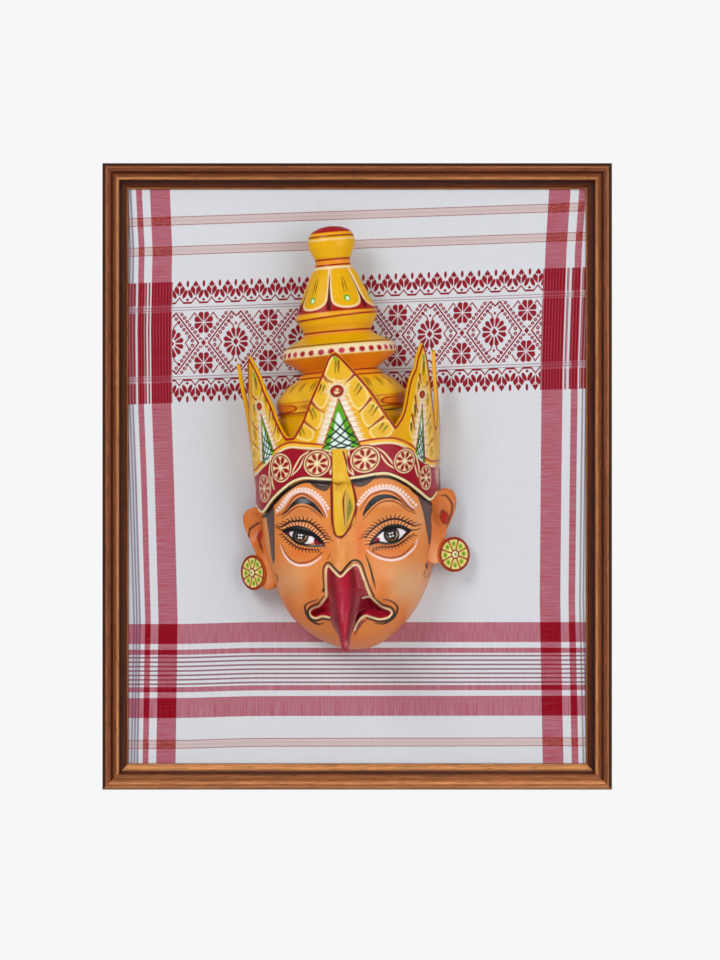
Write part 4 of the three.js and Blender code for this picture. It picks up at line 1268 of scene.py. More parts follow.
ear = {
    "turn": 38, "root": (97, 44), "thickness": 6, "middle": (13, 33), "bowl": (17, 46, 10, 17, 5),
    "columns": 120, "rows": 76, "earringRows": 74, "earringRadius": 21.3, "earring_left": (25.5, -7.5),
    "earring_right": (31.5, -2.5),
    # Painted light on the lobe and painted shade inside the ear, with skin colour at the top: place, half size,
    # colour, strength
    "glows": [(26, 60, 10, 10, "skin", 0.5), (8, 0, 12, 12, (238, 150, 92), 0.75),
        (12, -15, 13, 11, (255, 184, 138), 0.75), (14, 40, 7, 18, (178, 80, 32), 0.6)],
    "ear_left": {
        "outline": [(-8, 58), (6, 66), (18, 71), (32, 69.6), (41, 63), (42, 55), (40, 48), (34, 36), (27, 23),
            (22, 13), (20, 0), (19, -14), (15, -26), (6, -30), (-4, -26), (-9, -8)],
        "lift": 1, "helix": [(14, 50.4), (19.7, 50.6), (28.7, 44.5), (30.8, 35.6), (26.4, 21.6), (19.7, 12.8)],
        "hollow": [(17, 41), (20.5, 38), (20, 33), (16.5, 29), (12.5, 22), (10, 15), (10.5, 24), (12.5, 31),
            (13, 37)],
    },
    "ear_right": {
        "outline": [(-8, 62), (8, 72), (24, 78), (34, 77), (40, 72), (42, 60), (39, 50), (31, 36), (25, 25),
            (22, 12), (18, -4), (10, -12), (-2, -8), (-8, 6)],
        "lift": 7, "helix": [(20, 63), (27, 61.6), (34.8, 52), (33.5, 41.4), (24.7, 23.8)],
        "hollow": [(22.5, 44.5), (27.6, 41), (29.4, 36.6), (27.6, 32.4), (24.8, 27.9), (20.6, 30.6),
            (20, 38.6)],
    },
}


def earPlane(side, out, up, front):
    turn = math.radians(ear["turn"])
    across = ear["root"][0] + out * math.cos(turn) + front * math.sin(turn)
    depth = ear["root"][1] - out * math.sin(turn) + front * math.cos(turn)
    return hang(side * across, -depth, up)


def addEar(side, name):
    parts = ear[name]
    loop = curve(parts["outline"], True, 12)
    loop = np.vstack([loop, loop[:1]])
    reach = lengths(loop)
    columns, rows = ear["columns"], ear["rows"]

    def place(column, row):
        around = column / columns * reach[-1]
        turn = row / rows * math.pi
        size = np.sin(turn) ** 0.75
        out, up = [middle + (np.interp(around, reach, part) - middle) * size
                   for middle, part in zip(ear["middle"], loop.T)]
        up = up - parts["lift"]
        half = ear["thickness"] / 2
        edgeRound = np.clip(np.abs(np.cos(turn)) * 3.2, 0, 1) ** 0.5
        front = -half + half * edgeRound * np.sign(np.cos(turn))
        x, y, wide, high, deep = ear["bowl"]
        bowl = np.hypot((out - x) / wide, (up - y) / high)
        carved = -deep * smooth(1.25 - bowl) + 1.5 * bell((size - 0.86) / 0.09) * (up > 12)
        carved += 1.2 * bell((bowl - 1.35) / 0.2) + 1.6 * bell((out - 8) / 8, (up + 1) / 8)
        facing = (np.cos(turn) > 0) & (size < 0.995)
        return earPlane(side, out, up + parts["lift"], front + np.where(facing, carved, 0)), out, up

    mesh, _, out, up = gridMesh(name, columns, rows, place)
    paint = Paint(out, up, "ear", 0.9, 0.38)
    paint.glows(ear["glows"])
    paint.stroke(parts["helix"], [0.8, 2.2, 2.2, 1.8, 0.7], (70, 22, 14))
    paint.fill(parts["hollow"], (178, 34, 12), 0.3)
    paint.stroke(parts["hollow"], 1.1, (104, 26, 12), closed=True)
    finishPainted(mesh, paint, skinMaterial, "painted_skin")


def wheel(paint, x, y, size, narrow):
    # A painted wheel: rings, petals and a centre
    for share, colour in ((1, "cream"), (0.91, "darkRed"), (0.81, (242, 208, 160))):
        paint.dot(x, y, size * share * narrow, size * share, colour)
    for way in spokes(8, 0.5):
        petal = [(x, y) + way * (narrow, 1) * size * share for share in (0.27, 0.48, 0.66)]
        paint.stroke(petal, [size * 0.1, size * 0.29, size * 0.27], (150, 8, 26))
    paint.dot(x, y, size * 0.12, size * 0.12, (226, 240, 200))


def addEarring(side, name):
    middle, r = ear[name], ear["earringRadius"]
    # Radius and height, from the middle of the front to the middle of the back
    profile = np.array([
        (0, 6.2), (r * 0.1, 6.1), (r * 0.2, 5.4), (r * 0.3, 4.6), (r * 0.36, 3.6), (r * 0.6, 3.6), (r - 3.4, 3.8),
        (r - 2.4, 4.6), (r - 1.4, 4.8), (r - 0.5, 4.4), (r, 3.6), (r, 1.2), (r - 0.5, 0.4), (r - 1.2, 0),
        (r * 0.5, 0), (0, 0),
    ])
    size = lengths(profile)
    columns, rows = ear["columns"], ear["earringRows"]

    def place(column, row):
        turn, along = column / columns * math.tau, row / rows * size[-1]
        radius, high = [np.interp(along, size, part) for part in profile.T]
        out, up = radius * np.cos(turn), radius * np.sin(turn)
        return earPlane(side, middle[0] + out, middle[1] + up, rail["gap"] + high), out, up, along

    mesh, _, out, up, along = gridMesh(name + "_painted", columns, rows, place)
    paint = Paint(out, up, (226, 196, 120), 0.8, 0.32)
    paint.dot(0, 0, r + 2, r + 2, "darkRed", 0.3)
    paint.dot(0, 0, r - 3.4, r - 3.4, (238, 222, 140), 0.3)
    for way, (x, y) in zip(spokes(8, 0.5), spokes(8) * r):
        paint.stroke([way * 4, way * r * 0.9], [1.8, 2.4], "darkRed", 0.3)
        paint.glow(x * 0.6, y * 0.6, 3.8, 3.8, (222, 190, 70), 0.8)
        paint.dot(x * 0.6, y * 0.6, 2.6, 3.0, (134, 178, 44), 0.3)
        paint.dot(x * 0.58, y * 0.64, 1.1, 1.3, (84, 142, 26), 0.3)
    for share, colour in ((0.27, "darkRed"), (0.19, "cream"), (0.08, "green")):
        paint.dot(0, 0, r * share, r * share, colour, 0.3)
    paint.colour[along >= size[10]] = linear("orange")
    paint.colour[(along >= size[9]) & (along <= size[11])] = linear((196, 90, 14))
    finishPainted(mesh, paint, crownMaterial, "painted_earring", name)


# Raised strip from under the middle leaf to between the brows
strip = {
    "foot": 28.7, "crease": 92, "top": 133, "left": -15.6, "right": 2.8, "fold": 12.4, "rise": 3.4,
    "columns": 40, "rows": 150, "rearColumns": 6,
    # Painted shade at the fold and near the lower end, and painted light above the fold and down the middle:
    # place, half size, colour, strength
    "glows": [(337, 487, 5, 4, (190, 128, 20), 0.7), (340, 476, 5, 4, (246, 200, 70), 0.6),
        (338, 500, 3, 12, (244, 206, 84), 0.5), (346, 526, 5, 6, (196, 140, 26), 0.6)],
    "fills": [([(346.4, 491), (350.5, 497), (353.5, 507), (351, 517), (346, 527), (343.6, 516), (344.6, 503)],
         (208, 172, 76), 1.4),
        ([(349.5, 498), (352.4, 507), (350.4, 514), (347.4, 520), (347.6, 508)], (132, 130, 42), 2)],
    "strokes": [([(345.4, 490), (343.4, 500), (343.8, 512), (345, 526)], [0.6, 2.0, 1.6, 0.6], "darkRed"),
        ([(343.4, 452), (347.4, 466), (351.6, 481), (355.4, 500), (355.2, 510), (350, 526), (344.6, 534.5),
          (339.7, 537), (335, 534), (332.6, 520), (332.2, 500), (331.6, 480), (331.2, 452)], 2.0, "darkRed"),
        # A painted highlight line down the left side, and painted shade along the fold
        ([(334.4, 455), (334.6, 480), (335.4, 505), (336, 522)], 0.9, (240, 192, 70)),
        ([(333.4, 482), (338, 484.5), (343.4, 482)], [0.6, 1.4, 0.6], (150, 92, 16))],
}


def addStrip():
    columns, rows, behind = [strip[key] for key in ("columns", "rows", "rearColumns")]
    foot, crease, left, right = [strip[key] for key in ("foot", "crease", "left", "right")]

    def place(column, row):
        share = np.clip((row - 1) / (rows - 2), 0, 1)
        z = foot + (strip["top"] - foot) * share
        tip = np.sqrt(1 - (1 - np.clip((z - foot) / 11, 0, 1)) ** 2)
        # A narrow painted leaf lies along its right side
        wide = right + (strip["fold"] - right) * smooth((z - 32) / 18) * smooth((112 - z) / 40)
        middle = (left + right) / 2
        low, high = middle + (left - middle) * tip, middle + (wide - middle) * tip
        rear = column > columns
        t = np.where(rear, 1 - (column - columns) / behind, np.clip(column / columns, 0, 1))
        across = low + (high - low) * t
        _, headDepth = headSize(z)
        form, _, _ = faceForm(onFace(across, z, headDepth))
        over = smooth((z - crease + 2.5) / 5)
        surface = (headDepth + form) * (1 - over) + (collarSize(z)[1] + collar["thickness"]) * over
        body = np.clip((across - low) / (right * tip - low + 1e-6), 0, 1)
        leaf = np.clip((across - right) / (high - right + 1e-6), 0, 1)
        rounded = (4 * body * (1 - body)).clip(0, 1) ** 0.4
        leafRise = 0.9 * (4 * leaf * (1 - leaf)).clip(0, 1) ** 0.5
        rise = strip["rise"] * rounded * (0.6 + 0.4 * tip) + np.where(across > right, leafRise, 0) + 0.5
        rise -= 1.2 * bell((z - crease + 1) / 2.2) - 0.9 * bell((z - crease - 6) / 4)
        rise = np.where(np.abs(t - 0.5) > 0.48, -1.5, rise)
        depth = np.where(rear, surface - 3, surface + rise)
        ends = (row == 0) | (row == rows)
        return onFace(np.where(ends, (low + high) / 2, across), z, np.where(ends, surface - 1.5, depth))

    mesh, points = gridMesh("forehead_strip", columns + behind, rows, place)
    paint = Paint(*project(points), "tilak", 0.6, 0.34)
    paint.glows(strip["glows"])
    for outline, colour, edge in strip["fills"]:
        paint.fill(outline, colour, edge=edge)
    paint.strokes(strip["strokes"])
    finishPainted(mesh, paint, crownMaterial, "painted_crown")


# Crown collar: a band round the forehead that stands up in five pointed leaves
collar = {
    "thickness": 4.5, "half": 105.4, "depth": 113, "foot": 95, "flare": 0.075, "valley": 152,
    # Start, tip and end of each leaf as places round the collar, and the height of its tip
    "leaves": [(-0.975, -0.855, -0.745, 247), (-0.745, -0.562, -0.285, 253), (-0.285, 0, 0.325, 250),
        (0.325, 0.53, 0.745, 254), (0.745, 0.855, 0.975, 247)],
    # Share of the drop at each share of the way from a leaf's tip to its valley: left side, right side
    "falls": [("plain", "plain"),
        ("plain",
         [(0, 0), (0.18, 0.12), (0.34, 0.27), (0.45, 0.43), (0.63, 0.605), (0.74, 0.77), (0.91, 0.94), (1, 1)]),
        ([(0, 0), (0.1, 0.04), (0.21, 0.23), (0.46, 0.57), (0.61, 0.8), (0.68, 0.87), (0.82, 1), (1, 1)],
         [(0, 0), (0.1, 0.1), (0.27, 0.27), (0.54, 0.52), (0.77, 0.755), (1, 0.955)]),
        ([(0, 0), (0.06, 0.01), (0.27, 0.16), (0.34, 0.29), (0.48, 0.37), (0.58, 0.48), (0.64, 0.62),
          (0.7, 0.76), (0.8, 0.85), (1, 0.955)], "plain"), ("plain", "plain")],
    "plainFall": [(0, 0), (0.1, 0.07), (0.24, 0.235), (0.48, 0.54), (0.7, 0.8), (0.88, 0.97), (1, 1)],
    # How far the tips of the rear leaves stand to the left
    "rearLean": (4.5, 6),
    "hem": [(-1, 73), (-0.72, 72), (-0.62, 66), (-0.54, 64), (-0.42, 78.4), (-0.3, 92), (-0.24, 97.4),
        (-0.18, 99.8), (-0.12, 98.8), (0, 95.6), (0.12, 96.8), (0.22, 99), (0.3, 97.6), (0.42, 87.6),
        (0.54, 74.4), (0.65, 64.4), (0.72, 68), (0.8, 73), (1, 74)],
    "columns": 424, "outerRows": 196, "innerRows": 14, "underRows": 9,
    # Pixels of the photograph from here on: the upper edge of the band
    "bandTop": [(257.5, 473.6), (266.2, 464.4), (274.9, 455.6), (283.6, 450), (291.6, 447.8), (302.2, 448.6),
        (319.7, 450), (330, 451.4), (340, 451.2), (349.5, 449.6), (359.5, 447.2), (374.4, 444.6),
        (389.3, 443.4), (399.3, 445), (409.2, 449.6), (416.7, 455.6), (424.1, 462.6), (431.6, 466.8),
        (439, 465.6)],
    # Wheels on the band: place, half height in pixels and narrowness
    "wheels": [(264.3, 488.5, 13.6, 0.82), (280.6, 468, 14.3, 0.84), (317, 463.6, 12.8, 1),
        (365.1, 459.3, 13.2, 1.04), (404.9, 461.1, 12.1, 0.94), (426, 477.6, 12.2, 0.8)],
    "vines": [[(308.4, 451.6), (302.6, 457.4), (298.2, 465.4), (294.8, 470.6), (290.4, 476)],
        [(374, 446.8), (381.4, 452.6), (387.4, 460.2), (391.4, 464.6), (398.4, 470.4)],
        [(410.4, 449), (414.6, 456.6), (417, 466.6), (418.2, 473), (421.4, 482.4)],
        [(276.2, 454.6), (271.8, 463), (270.6, 474.6), (271.4, 481), (274, 489)],
        [(329.4, 452.8), (331.6, 458), (331.4, 463.6), (331, 468), (330.6, 474)],
        [(348.6, 450.6), (348, 457), (349, 464), (350.4, 470), (353.6, 475)]],
    "gem": (337.1, 391),
    # Where the design of the middle leaf falls on its neighbours in the photograph: niche tip, then the slopes
    "maps": [((260.7, 413.2), (0.307, -0.247), (0.14, 0.934)), ((338.5, 398.6), (1, 0), (0, 1)),
        ((422.3, 403.2), (0.249, 0.352), (-0.053, 1.09))],
    "niche": [(338.5, 398.6), (347.5, 419), (360.6, 446.4), (341, 450.6), (322, 449.6), (331.6, 420)],
    "nicheField": [(338.3, 412), (341.4, 419), (343.6, 426), (345.8, 433), (350.4, 440), (351.4, 447.4),
        (341, 450), (330.2, 449.4), (331, 441), (333.4, 433), (334.6, 425), (336, 418)],
    "fringe": [(338.5, 388), (345.4, 399), (352, 413), (358.4, 428), (364.4, 441.4), (360, 443.4),
        (338.5, 398.6), (322.4, 447), (316.6, 443), (321.4, 428), (326.6, 412), (331.8, 398.6)],
    "tipPanel": [(337, 352.6), (345, 361), (352.4, 372.6), (347.4, 379.6), (339.6, 381), (331.4, 379.4),
        (325.6, 375), (330.6, 360)],
    "panels": [[(322, 379), (330, 383.4), (329.4, 395), (321.6, 408), (312.8, 398.6), (317.4, 387)],
        [(309.8, 403), (321.4, 412), (320, 424), (314.6, 428.6), (304, 419.6)],
        [(301.4, 424), (313, 431.4), (310.4, 440), (299, 438), (296, 434)],
        [(356.6, 377.6), (368.2, 396.6), (358.4, 409), (350.4, 399), (347, 386), (350.4, 381)],
        [(371.6, 402.4), (381.6, 415.6), (368.6, 426), (361.6, 414.6), (364.6, 408.6)],
        [(385, 420.4), (392.6, 427.6), (388.4, 435.6), (376, 438.4), (370.4, 430)]],
    "branches": [[(323.8, 376.7), (327.4, 380.4), (332, 382.4)],
        [(310.6, 400.9), (316.4, 407.6), (323.4, 412.4)], [(303, 420.4), (309.6, 426), (316.2, 430.4)],
        [(355, 373.5), (350.6, 378.6), (346, 381.6)], [(370.7, 398.6), (366, 404.6), (359.6, 412)],
        [(383, 417), (376.4, 422.4), (368.4, 428.4)]],
    "leafMarks": [((324.2, 386), (321.6, 393.6)), ((321.2, 385), (318.2, 392.4)),
        ((312.6, 408.6), (316.2, 417.8)), ((309.6, 409.8), (313.2, 419.6)), ((301.6, 428.4), (304.6, 435)),
        ((298.6, 430), (301, 436)), ((358.8, 384), (354.4, 391)), ((361.6, 387), (356.6, 395)),
        ((373.6, 405), (369, 412.6)), ((377.4, 407), (371.6, 415.6)), ((387, 426), (381.6, 432.6)),
        ((383, 423.6), (378.6, 430)), ((335.6, 361), (335, 373)), ((338.4, 361), (338.2, 373))],
    "warmPlaces": [(242, 400), (252, 388), (440, 410), (247, 440)],
}


def collarSize(z):
    flare = np.clip(collar["flare"] * (z - collar["foot"]), 0, None)
    return collar["half"] + flare, collar["depth"] + flare


def leafTop(u):
    # Height of the upper edge, falling from each leaf's tip to its valleys
    height = np.full(np.shape(u), float(collar["valley"]))
    for (start, tip, end, top), falls in zip(collar["leaves"], collar["falls"]):
        t = np.clip(np.abs(u - tip) / np.where(u < tip, tip - start, end - tip), 0, 1)
        left, right = [table(collar["plainFall"] if fall == "plain" else fall, t, 1, 0.035) for fall in falls]
        inside = (u >= start) & (u <= end)
        height = np.where(inside, top + (collar["valley"] - top) * np.where(u < tip, left, right), height)
    return height


def hemHeight(u):
    return np.interp(u, *curve(collar["hem"]).T)


def collarArc(u):
    # Length round the collar, from its middle, at the height of its band
    fine = np.linspace(-1, 1, 2001)
    reach = lengths(np.column_stack(plan(fine, collar["half"], collar["depth"])))
    return np.interp(u, fine, reach - reach[1000])


# Finds the flat place on a piece's surface that a pixel of the photograph shows
class Seen:
    def __init__(self, points, flat, front):
        self.pixels = np.column_stack(project(points))[front]
        self.flat = np.column_stack(flat)[front]

    def __call__(self, places):
        found = []
        for place in np.atleast_2d(np.array(places, float)):
            away = ((self.pixels - place) ** 2).sum(1)
            near = np.argpartition(away, 6)[:6]
            weight = 1 / (away[near] + 0.02)
            found.append((self.flat[near] * weight[:, None]).sum(0) / weight.sum())
        return np.array(found)


def addCollar():
    first, last = collar["leaves"][0][0], collar["leaves"][-1][2]
    columns, outer, inner, under = [collar[key] for key in ("columns", "outerRows", "innerRows", "underRows")]
    # Five rows turn over the upper edge, the loop runs down inside and comes back below
    over = outer + 5
    foot = over + inner
    rows = foot + under
    fine = np.linspace(first, last, 2001)
    density = np.where(np.abs(fine) < 0.62, 1.0, 0.62)
    share = np.concatenate([[0], np.cumsum((density[1:] + density[:-1]) / 2)])
    share /= share[-1]
    edgeRows = np.arange(outer, over + 1)
    bosses = []

    def place(column, row):
        u = np.interp(np.clip(column, 1, columns - 1) / columns, share, fine)
        low, high = hemHeight(u), leafTop(u)
        thick = np.interp(row, [0, *edgeRows, foot, rows], [1, 1, 0.93, 0.72, 0.28, 0.07, 0, 0, 1])
        thick = np.where((column == 0) | (column == columns), 0.5, thick)
        up = np.where(row <= outer, row / outer, np.clip((foot - row) / inner, 0, 1))
        z = low + (high - 1.7 - low) * up
        drops = np.interp(row, edgeRows, [1.7, 0.7, 0, 0, 0.7, 1.7])
        z = np.where((row >= outer) & (row <= over), high - drops, z)
        gone = thick * collar["thickness"]
        half, depth = collarSize(z)
        x, y = plan(u, half + gone, depth + gone)
        leftLean, rightLean = collar["rearLean"]
        lean = np.where(u < collar["leaves"][0][2], leftLean, np.where(u > collar["leaves"][-1][0], rightLean, 0))
        x = x - lean * smooth((z - 155) / 92)
        arc = collarArc(u)
        relief = np.zeros(len(u))
        for centre, size, rise in bosses:
            away = np.hypot(arc - centre[0], z - centre[1]) / size
            relief += rise * np.sqrt(np.clip(1 - away**2, 0, 1))
        return hang(x, y - relief * (row <= outer), z), arc, z, u, thick, row

    column, row = np.meshgrid(np.arange(columns + 1), np.arange(rows + 1))
    points, arc, z, u, _, row = place(column.ravel(), row.ravel())
    seen = Seen(points, (arc, z), (row <= outer) & (np.abs(u) < 0.86))
    leaves = collarLeaves()
    bosses += [(centre, 8 * size, 2.2 * size) for centre, size in leafGems(seen, leaves)]
    mesh, _, arc, z, _, thick, row = gridMesh("crown_collar_painted", columns, rows, place)
    paint = Paint(arc, z, "yellow", 0.85, 0.34)
    paintCollar(paint, seen, leaves)
    paint.colour[row > outer] = linear("yellow")
    paint.colour[row > over] = linear("deepYellow")
    # Below the band the light edge turns under and ends in a dark line
    paint.colour[row > foot] = linear("cream")
    paint.colour[(row > foot) & (thick < 0.62)] = linear((30, 12, 10))
    finishPainted(mesh, paint, crownMaterial, "painted_crown", "crown_collar")


def collarLeaves():
    leaves = []
    for *ends, top in collar["leaves"]:
        start, tip, end = collarArc(ends)
        leaves.append({"tip": tip, "left": tip - start, "right": end - tip, "top": top, "range": ends})
    return leaves


def outOfLeaf(across, up, leaf):
    # Shares of a leaf, -1 to 1 across and 0 to 1 up, to a flat place
    wide = leaf["left"] if across < 0 else leaf["right"]
    return np.array([leaf["tip"] + across * wide, collar["valley"] + up * (leaf["top"] - collar["valley"])])


def onLeaf(seen, pixels, index):
    # Pixels of the middle leaf's design to flat places on any of the three front leaves
    start, across, down = [np.array(part) for part in collar["maps"][index - 1]]
    away = np.atleast_2d(pixels) - collar["niche"][0]
    return seen(start + away[:, :1] * across + away[:, 1:] * down)


def leafGems(seen, leaves):
    for index in (1, 2, 3):
        yield onLeaf(seen, collar["gem"], index)[0], 1.0 if index == 2 else 0.66
    for index in (0, 4):
        yield outOfLeaf(0, 0.6, leaves[index]), 0.66


def paintLeaf(paint, seen, index):
    # The same design on each leaf: panels with light edges, a pale fringe with strokes off it, twigs, marks and a
    # dot; its gem and netted niche are painted later
    def at(pixels):
        return onLeaf(seen, pixels, index)

    width = 1.0 if index == 2 else 0.8
    for panel in collar["panels"]:
        outline = at(panel)
        paint.fill(outline, (236, 184, 44))
        paint.stroke(outline, 1.9 * width, (246, 220, 138), closed=True)
        paint.glow(*outline.mean(0), 4, 4, (228, 170, 20), 0.8)
    outline = at(collar["tipPanel"])
    paint.fill(outline, (232, 180, 34))
    paint.stroke(outline, 1.9 * width, (246, 220, 138), closed=True)
    paint.fill(at(collar["fringe"]), (238, 216, 186), edge=3, rounded=False)
    low, high = at(collar["niche"])[0], at([(325, 447), (358, 443)])
    for side, edge in ((-1, high[0]), (1, high[1])):
        for k, share in enumerate(np.linspace(0.0, 0.98, 26)):
            start = low + (edge - low) * share
            tip = start + np.array([side * (8.4 + 1.8 * (k % 3)) * width, 1.2 - 2.4 * share])
            paint.stroke([start, (start + tip) / 2 - [0, 0.6], tip], [2.0 * width, 1.5 * width, 0.4],
                         ((250, 244, 234), (228, 202, 172), (246, 232, 214))[k % 3])
    for twig in collar["branches"]:
        paint.stroke(at(twig), [3.6 * width, 2.6 * width, 1.3], (150, 32, 12))
    for count, mark in enumerate(collar["leafMarks"]):
        start, end = at(mark)
        paint.stroke([start, (start + end) / 2 + [0.3, 0], end], [2.2 * width, 1.6, 0.7],
                     (100, 52, 12) if count % 2 else (98, 118, 24))
    paint.dot(*at((335.4, 357.4))[0], 2.6 * width, 4.4, (132, 172, 34))


def paintNiche(paint, seen, index):
    width = 1.0 if index == 2 else 0.8
    niche = onLeaf(seen, collar["niche"], index)
    paint.fill(niche, "green", 0.3, rounded=False)
    paint.fill(onLeaf(seen, collar["nicheField"], index), (226, 244, 236), 0.3)
    apex, left, right = niche[0], niche[4], niche[2]
    for share in (0.4, 0.55, 0.7, 0.85):
        for a, b in ((left, right), (right, left)):
            start, far = apex + (a - apex) * share, share + 0.42
            end = apex + (b - apex) * far if far < 1 else b + (a - b) * (far - 1) * 1.5
            paint.stroke([start, (start + end) / 2 - [0, 2.6 * width], end], 1.9 * width, "net", 0.3)
    paint.stroke([apex, niche[1], niche[2]], 1.5 * width, "darkRed")
    paint.stroke([apex, niche[5], niche[4]], 1.0 * width, (214, 70, 40))


def paintRearLeaf(paint, leaf):
    for share in (0.62, 0.4, 0.2):
        for side in (-1, 1):
            start = outOfLeaf(side * (1 - share) * 0.8, share, leaf)
            end = outOfLeaf(side * (1 - share) * 0.25, share * 0.9, leaf)
            paint.stroke([start, (start + end) / 2 - [0, 2], end], [1.8, 1.4, 0.8], "darkRed")
            paint.stroke([start - [0, 6], end - [0, 8]], [1.2, 0.8], (112, 66, 14))


def paintGem(paint, centre, size):
    for k, way in enumerate(spokes(28)):
        paint.stroke([centre + way * 7 * size, centre + way * (12 + 2 * (k % 3)) * size], [2.0 * size, 0.5],
                     ((246, 228, 196), (236, 204, 160))[k % 2])
    paint.dot(*centre, 8.6 * size, 8.6 * size, (246, 226, 190))
    for radius, colour in ((7.4, "darkRed"), (4.6, (186, 60, 30))):
        paint.dot(*centre, radius * size, radius * size, colour, 0.25)
    if size > 0.9:
        paint.dot(*(centre + [-0.4, -1.2]), 2.7, 2.2, "cream", 0.25)
        paint.dot(*(centre + [0.2, 2.0]), 1.4, 1.3, "cream", 0.25)
        paint.stroke([centre + [-2.2, 0.2], centre + [2.2, -0.6]], 0.8, "darkRed", 0.25)


def paintCollar(paint, seen, leaves):
    # Deeper yellow low down and towards the valleys
    for leaf in leaves:
        for side in (-1, 1):
            paint.glow(leaf["tip"] + side * leaf["left"], collar["valley"] - 6, 12, 20, "deepYellow", 0.4)
    for leaf in (leaves[0], leaves[4]):
        paint.glow(leaf["tip"], 190, 14, 50, (222, 172, 84), 0.5)
    for x, y in seen(collar["warmPlaces"]):
        paint.glow(x, y, 9, 22, (206, 116, 40), 0.45)
    paintRearLeaf(paint, leaves[0])
    for index in (1, 2, 3):
        paintLeaf(paint, seen, index)
    paintRearLeaf(paint, leaves[4])
    for centre, size in leafGems(seen, leaves):
        paintGem(paint, centre, size)
    # Outline of the leaves
    for leaf in leaves:
        start, tip, end = leaf["range"]
        for a, b in ((start, tip), (tip, end)):
            u = np.linspace(a, b, 60)
            paint.stroke(np.column_stack([collarArc(u), leafTop(u) - 2.8]), 3.8, (158, 34, 12), rounded=False)
    paintBand(paint, seen)


def paintBand(paint, seen):
    # Band with its wheels and vines, and the niches that stand on it
    arc = np.linspace(collarArc(collar["leaves"][0][0]), collarArc(collar["leaves"][-1][2]), 400)
    top = seen(collar["bandTop"])
    (leftX, leftY), (rightX, rightY) = top[0], top[-1]
    edge = curve(np.vstack([[(arc[0] - 6, leftY - 3), (leftX - 14, leftY - 2)], top,
                            [(rightX + 14, rightY - 2), (arc[-1] + 6, rightY - 4)]]))
    paint.fill(np.vstack([edge, [(arc[-1] + 20, 40), (arc[0] - 20, 40)]]), "crimson", 0.3, rounded=False)
    for lift, width, colour in ((1.0, 2.8, "cream"), (3.8, 3.2, (246, 184, 48)), (6.6, 2.4, (172, 40, 14))):
        paint.stroke(edge + [0, lift], width, colour, rounded=False)
    for index in (1, 2, 3):
        paintNiche(paint, seen, index)
    for vine in collar["vines"]:
        line = seen(vine)
        aside = np.array([(0, 0), (1.6, -1.2), (2.2, -1.6), (1.6, -1.2), (0, 0)])
        if line[-1][0] > line[0][0]:
            aside = aside * (-1, 1)
        paint.stroke(line + aside, [1.2, 1.8, 1.4], "cream")
        paint.stroke(line - aside, [1.2, 2.0, 1.4], "cream")
    places = seen([(x, y) for x, y, _, _ in collar["wheels"]])
    wheels = [(*place, size * photo["pixel"], narrow)
              for place, (_, _, size, narrow) in zip(places, collar["wheels"])]
    hidden = [(places[0][0] - 42, 98, 13, 1), (places[-1][0] + 38, 98, 13, 1)]
    for x, y, size, narrow in wheels + hidden:
        paint.dot(x, y, size * narrow + 1.8, size + 1.8, "crimson")
        wheel(paint, x, y, size, narrow)
    for x, y, _, _ in (wheels[0], *hidden):
        paint.glow(x, y, 15, 18, (190, 120, 120), 0.35)
    fine = np.linspace(-1, 1, 400)
    hemLine = np.column_stack([arc, hemHeight(np.interp(arc, collarArc(fine), fine))])
    paint.stroke(hemLine + [0, 1.3], 3.2, "cream", rounded=False)
    paint.stroke(hemLine + [0, 3.6], 1.0, (96, 12, 20), rounded=False)


# Crown tower: turned round an axis in front of the cloth
tower = {
    "axisDepth": 46, "depthShare": 0.82, "columns": 236, "rearColumns": 44, "rows": 330, "petals": 6,
    "firstPetal": -38, "unrolled": 40, "tilt": 0.02, "bars": 83.8,
    # Height and radius from the foot to the top
    "profile": [(176.4, 0), (176.4, 72), (181, 78.5), (186, 77), (190, 79), (197, 78.5), (201, 75.5), (212, 66),
        (219, 54.5), (221.5, 51), (224.5, 50), (227.5, 45), (230, 46), (236, 55), (242.5, 64.5), (245.5, 68),
        (249.5, 69), (256.5, 66.5), (261, 61), (266, 51), (271, 43), (274, 40.5), (280, 42), (287, 46),
        (292.5, 49), (298, 48), (306, 44.5), (325, 36.5), (342, 28.5), (352, 22.5), (357, 20.8), (363, 21.2),
        (369, 24), (377, 27.8), (385, 28.6), (392, 26.8), (397.4, 22), (401.4, 13), (403.2, 0)],
    "frontArc": 105, "petalFoot": 299, "petalTop": 352, "beads": 34, "beadHeight": 251, "firstBar": 42,
    "beltHeight": 187,
    # Painted zones: foot, top, colour, softness. The three lowest are painted light, a brighter yellow where the
    # foot of the dome faces down
    "zones": [(176, 184, (255, 206, 52), 2), (184, 196, (246, 186, 40), 2), (196, 222, (246, 190, 30), 2),
        (228, 246, (240, 140, 24), 2), (272, 284, (226, 158, 10), 4), (394.5, 403, (176, 18, 24), 1.2),
        (299.4, 312, (170, 18, 14), 0.9)],
    # Painted rings: height, width, colour
    "bands": [(352.2, 2.6, (246, 222, 180)), (355.4, 2.2, (160, 16, 10)), (358.8, 3.4, (240, 140, 30)),
        (362.4, 2.4, (160, 16, 10)), (386, 1.6, (244, 216, 150)), (390.2, 2.0, (130, 14, 8)),
        (393, 2.6, (250, 170, 30)), (299.8, 2.2, (160, 16, 10)), (297.2, 2.2, (244, 160, 40)),
        (275.4, 2.2, (150, 18, 10)), (272.4, 2.0, (240, 150, 40)), (260, 1.4, (110, 56, 12)),
        (256.8, 2.8, (248, 226, 176)), (251, 8.6, (246, 220, 178)), (244.8, 1.6, (226, 130, 30)),
        (227.4, 2.0, (156, 22, 10)), (224.6, 2.4, (244, 150, 40)), (221.4, 2.0, (156, 22, 10))],
}


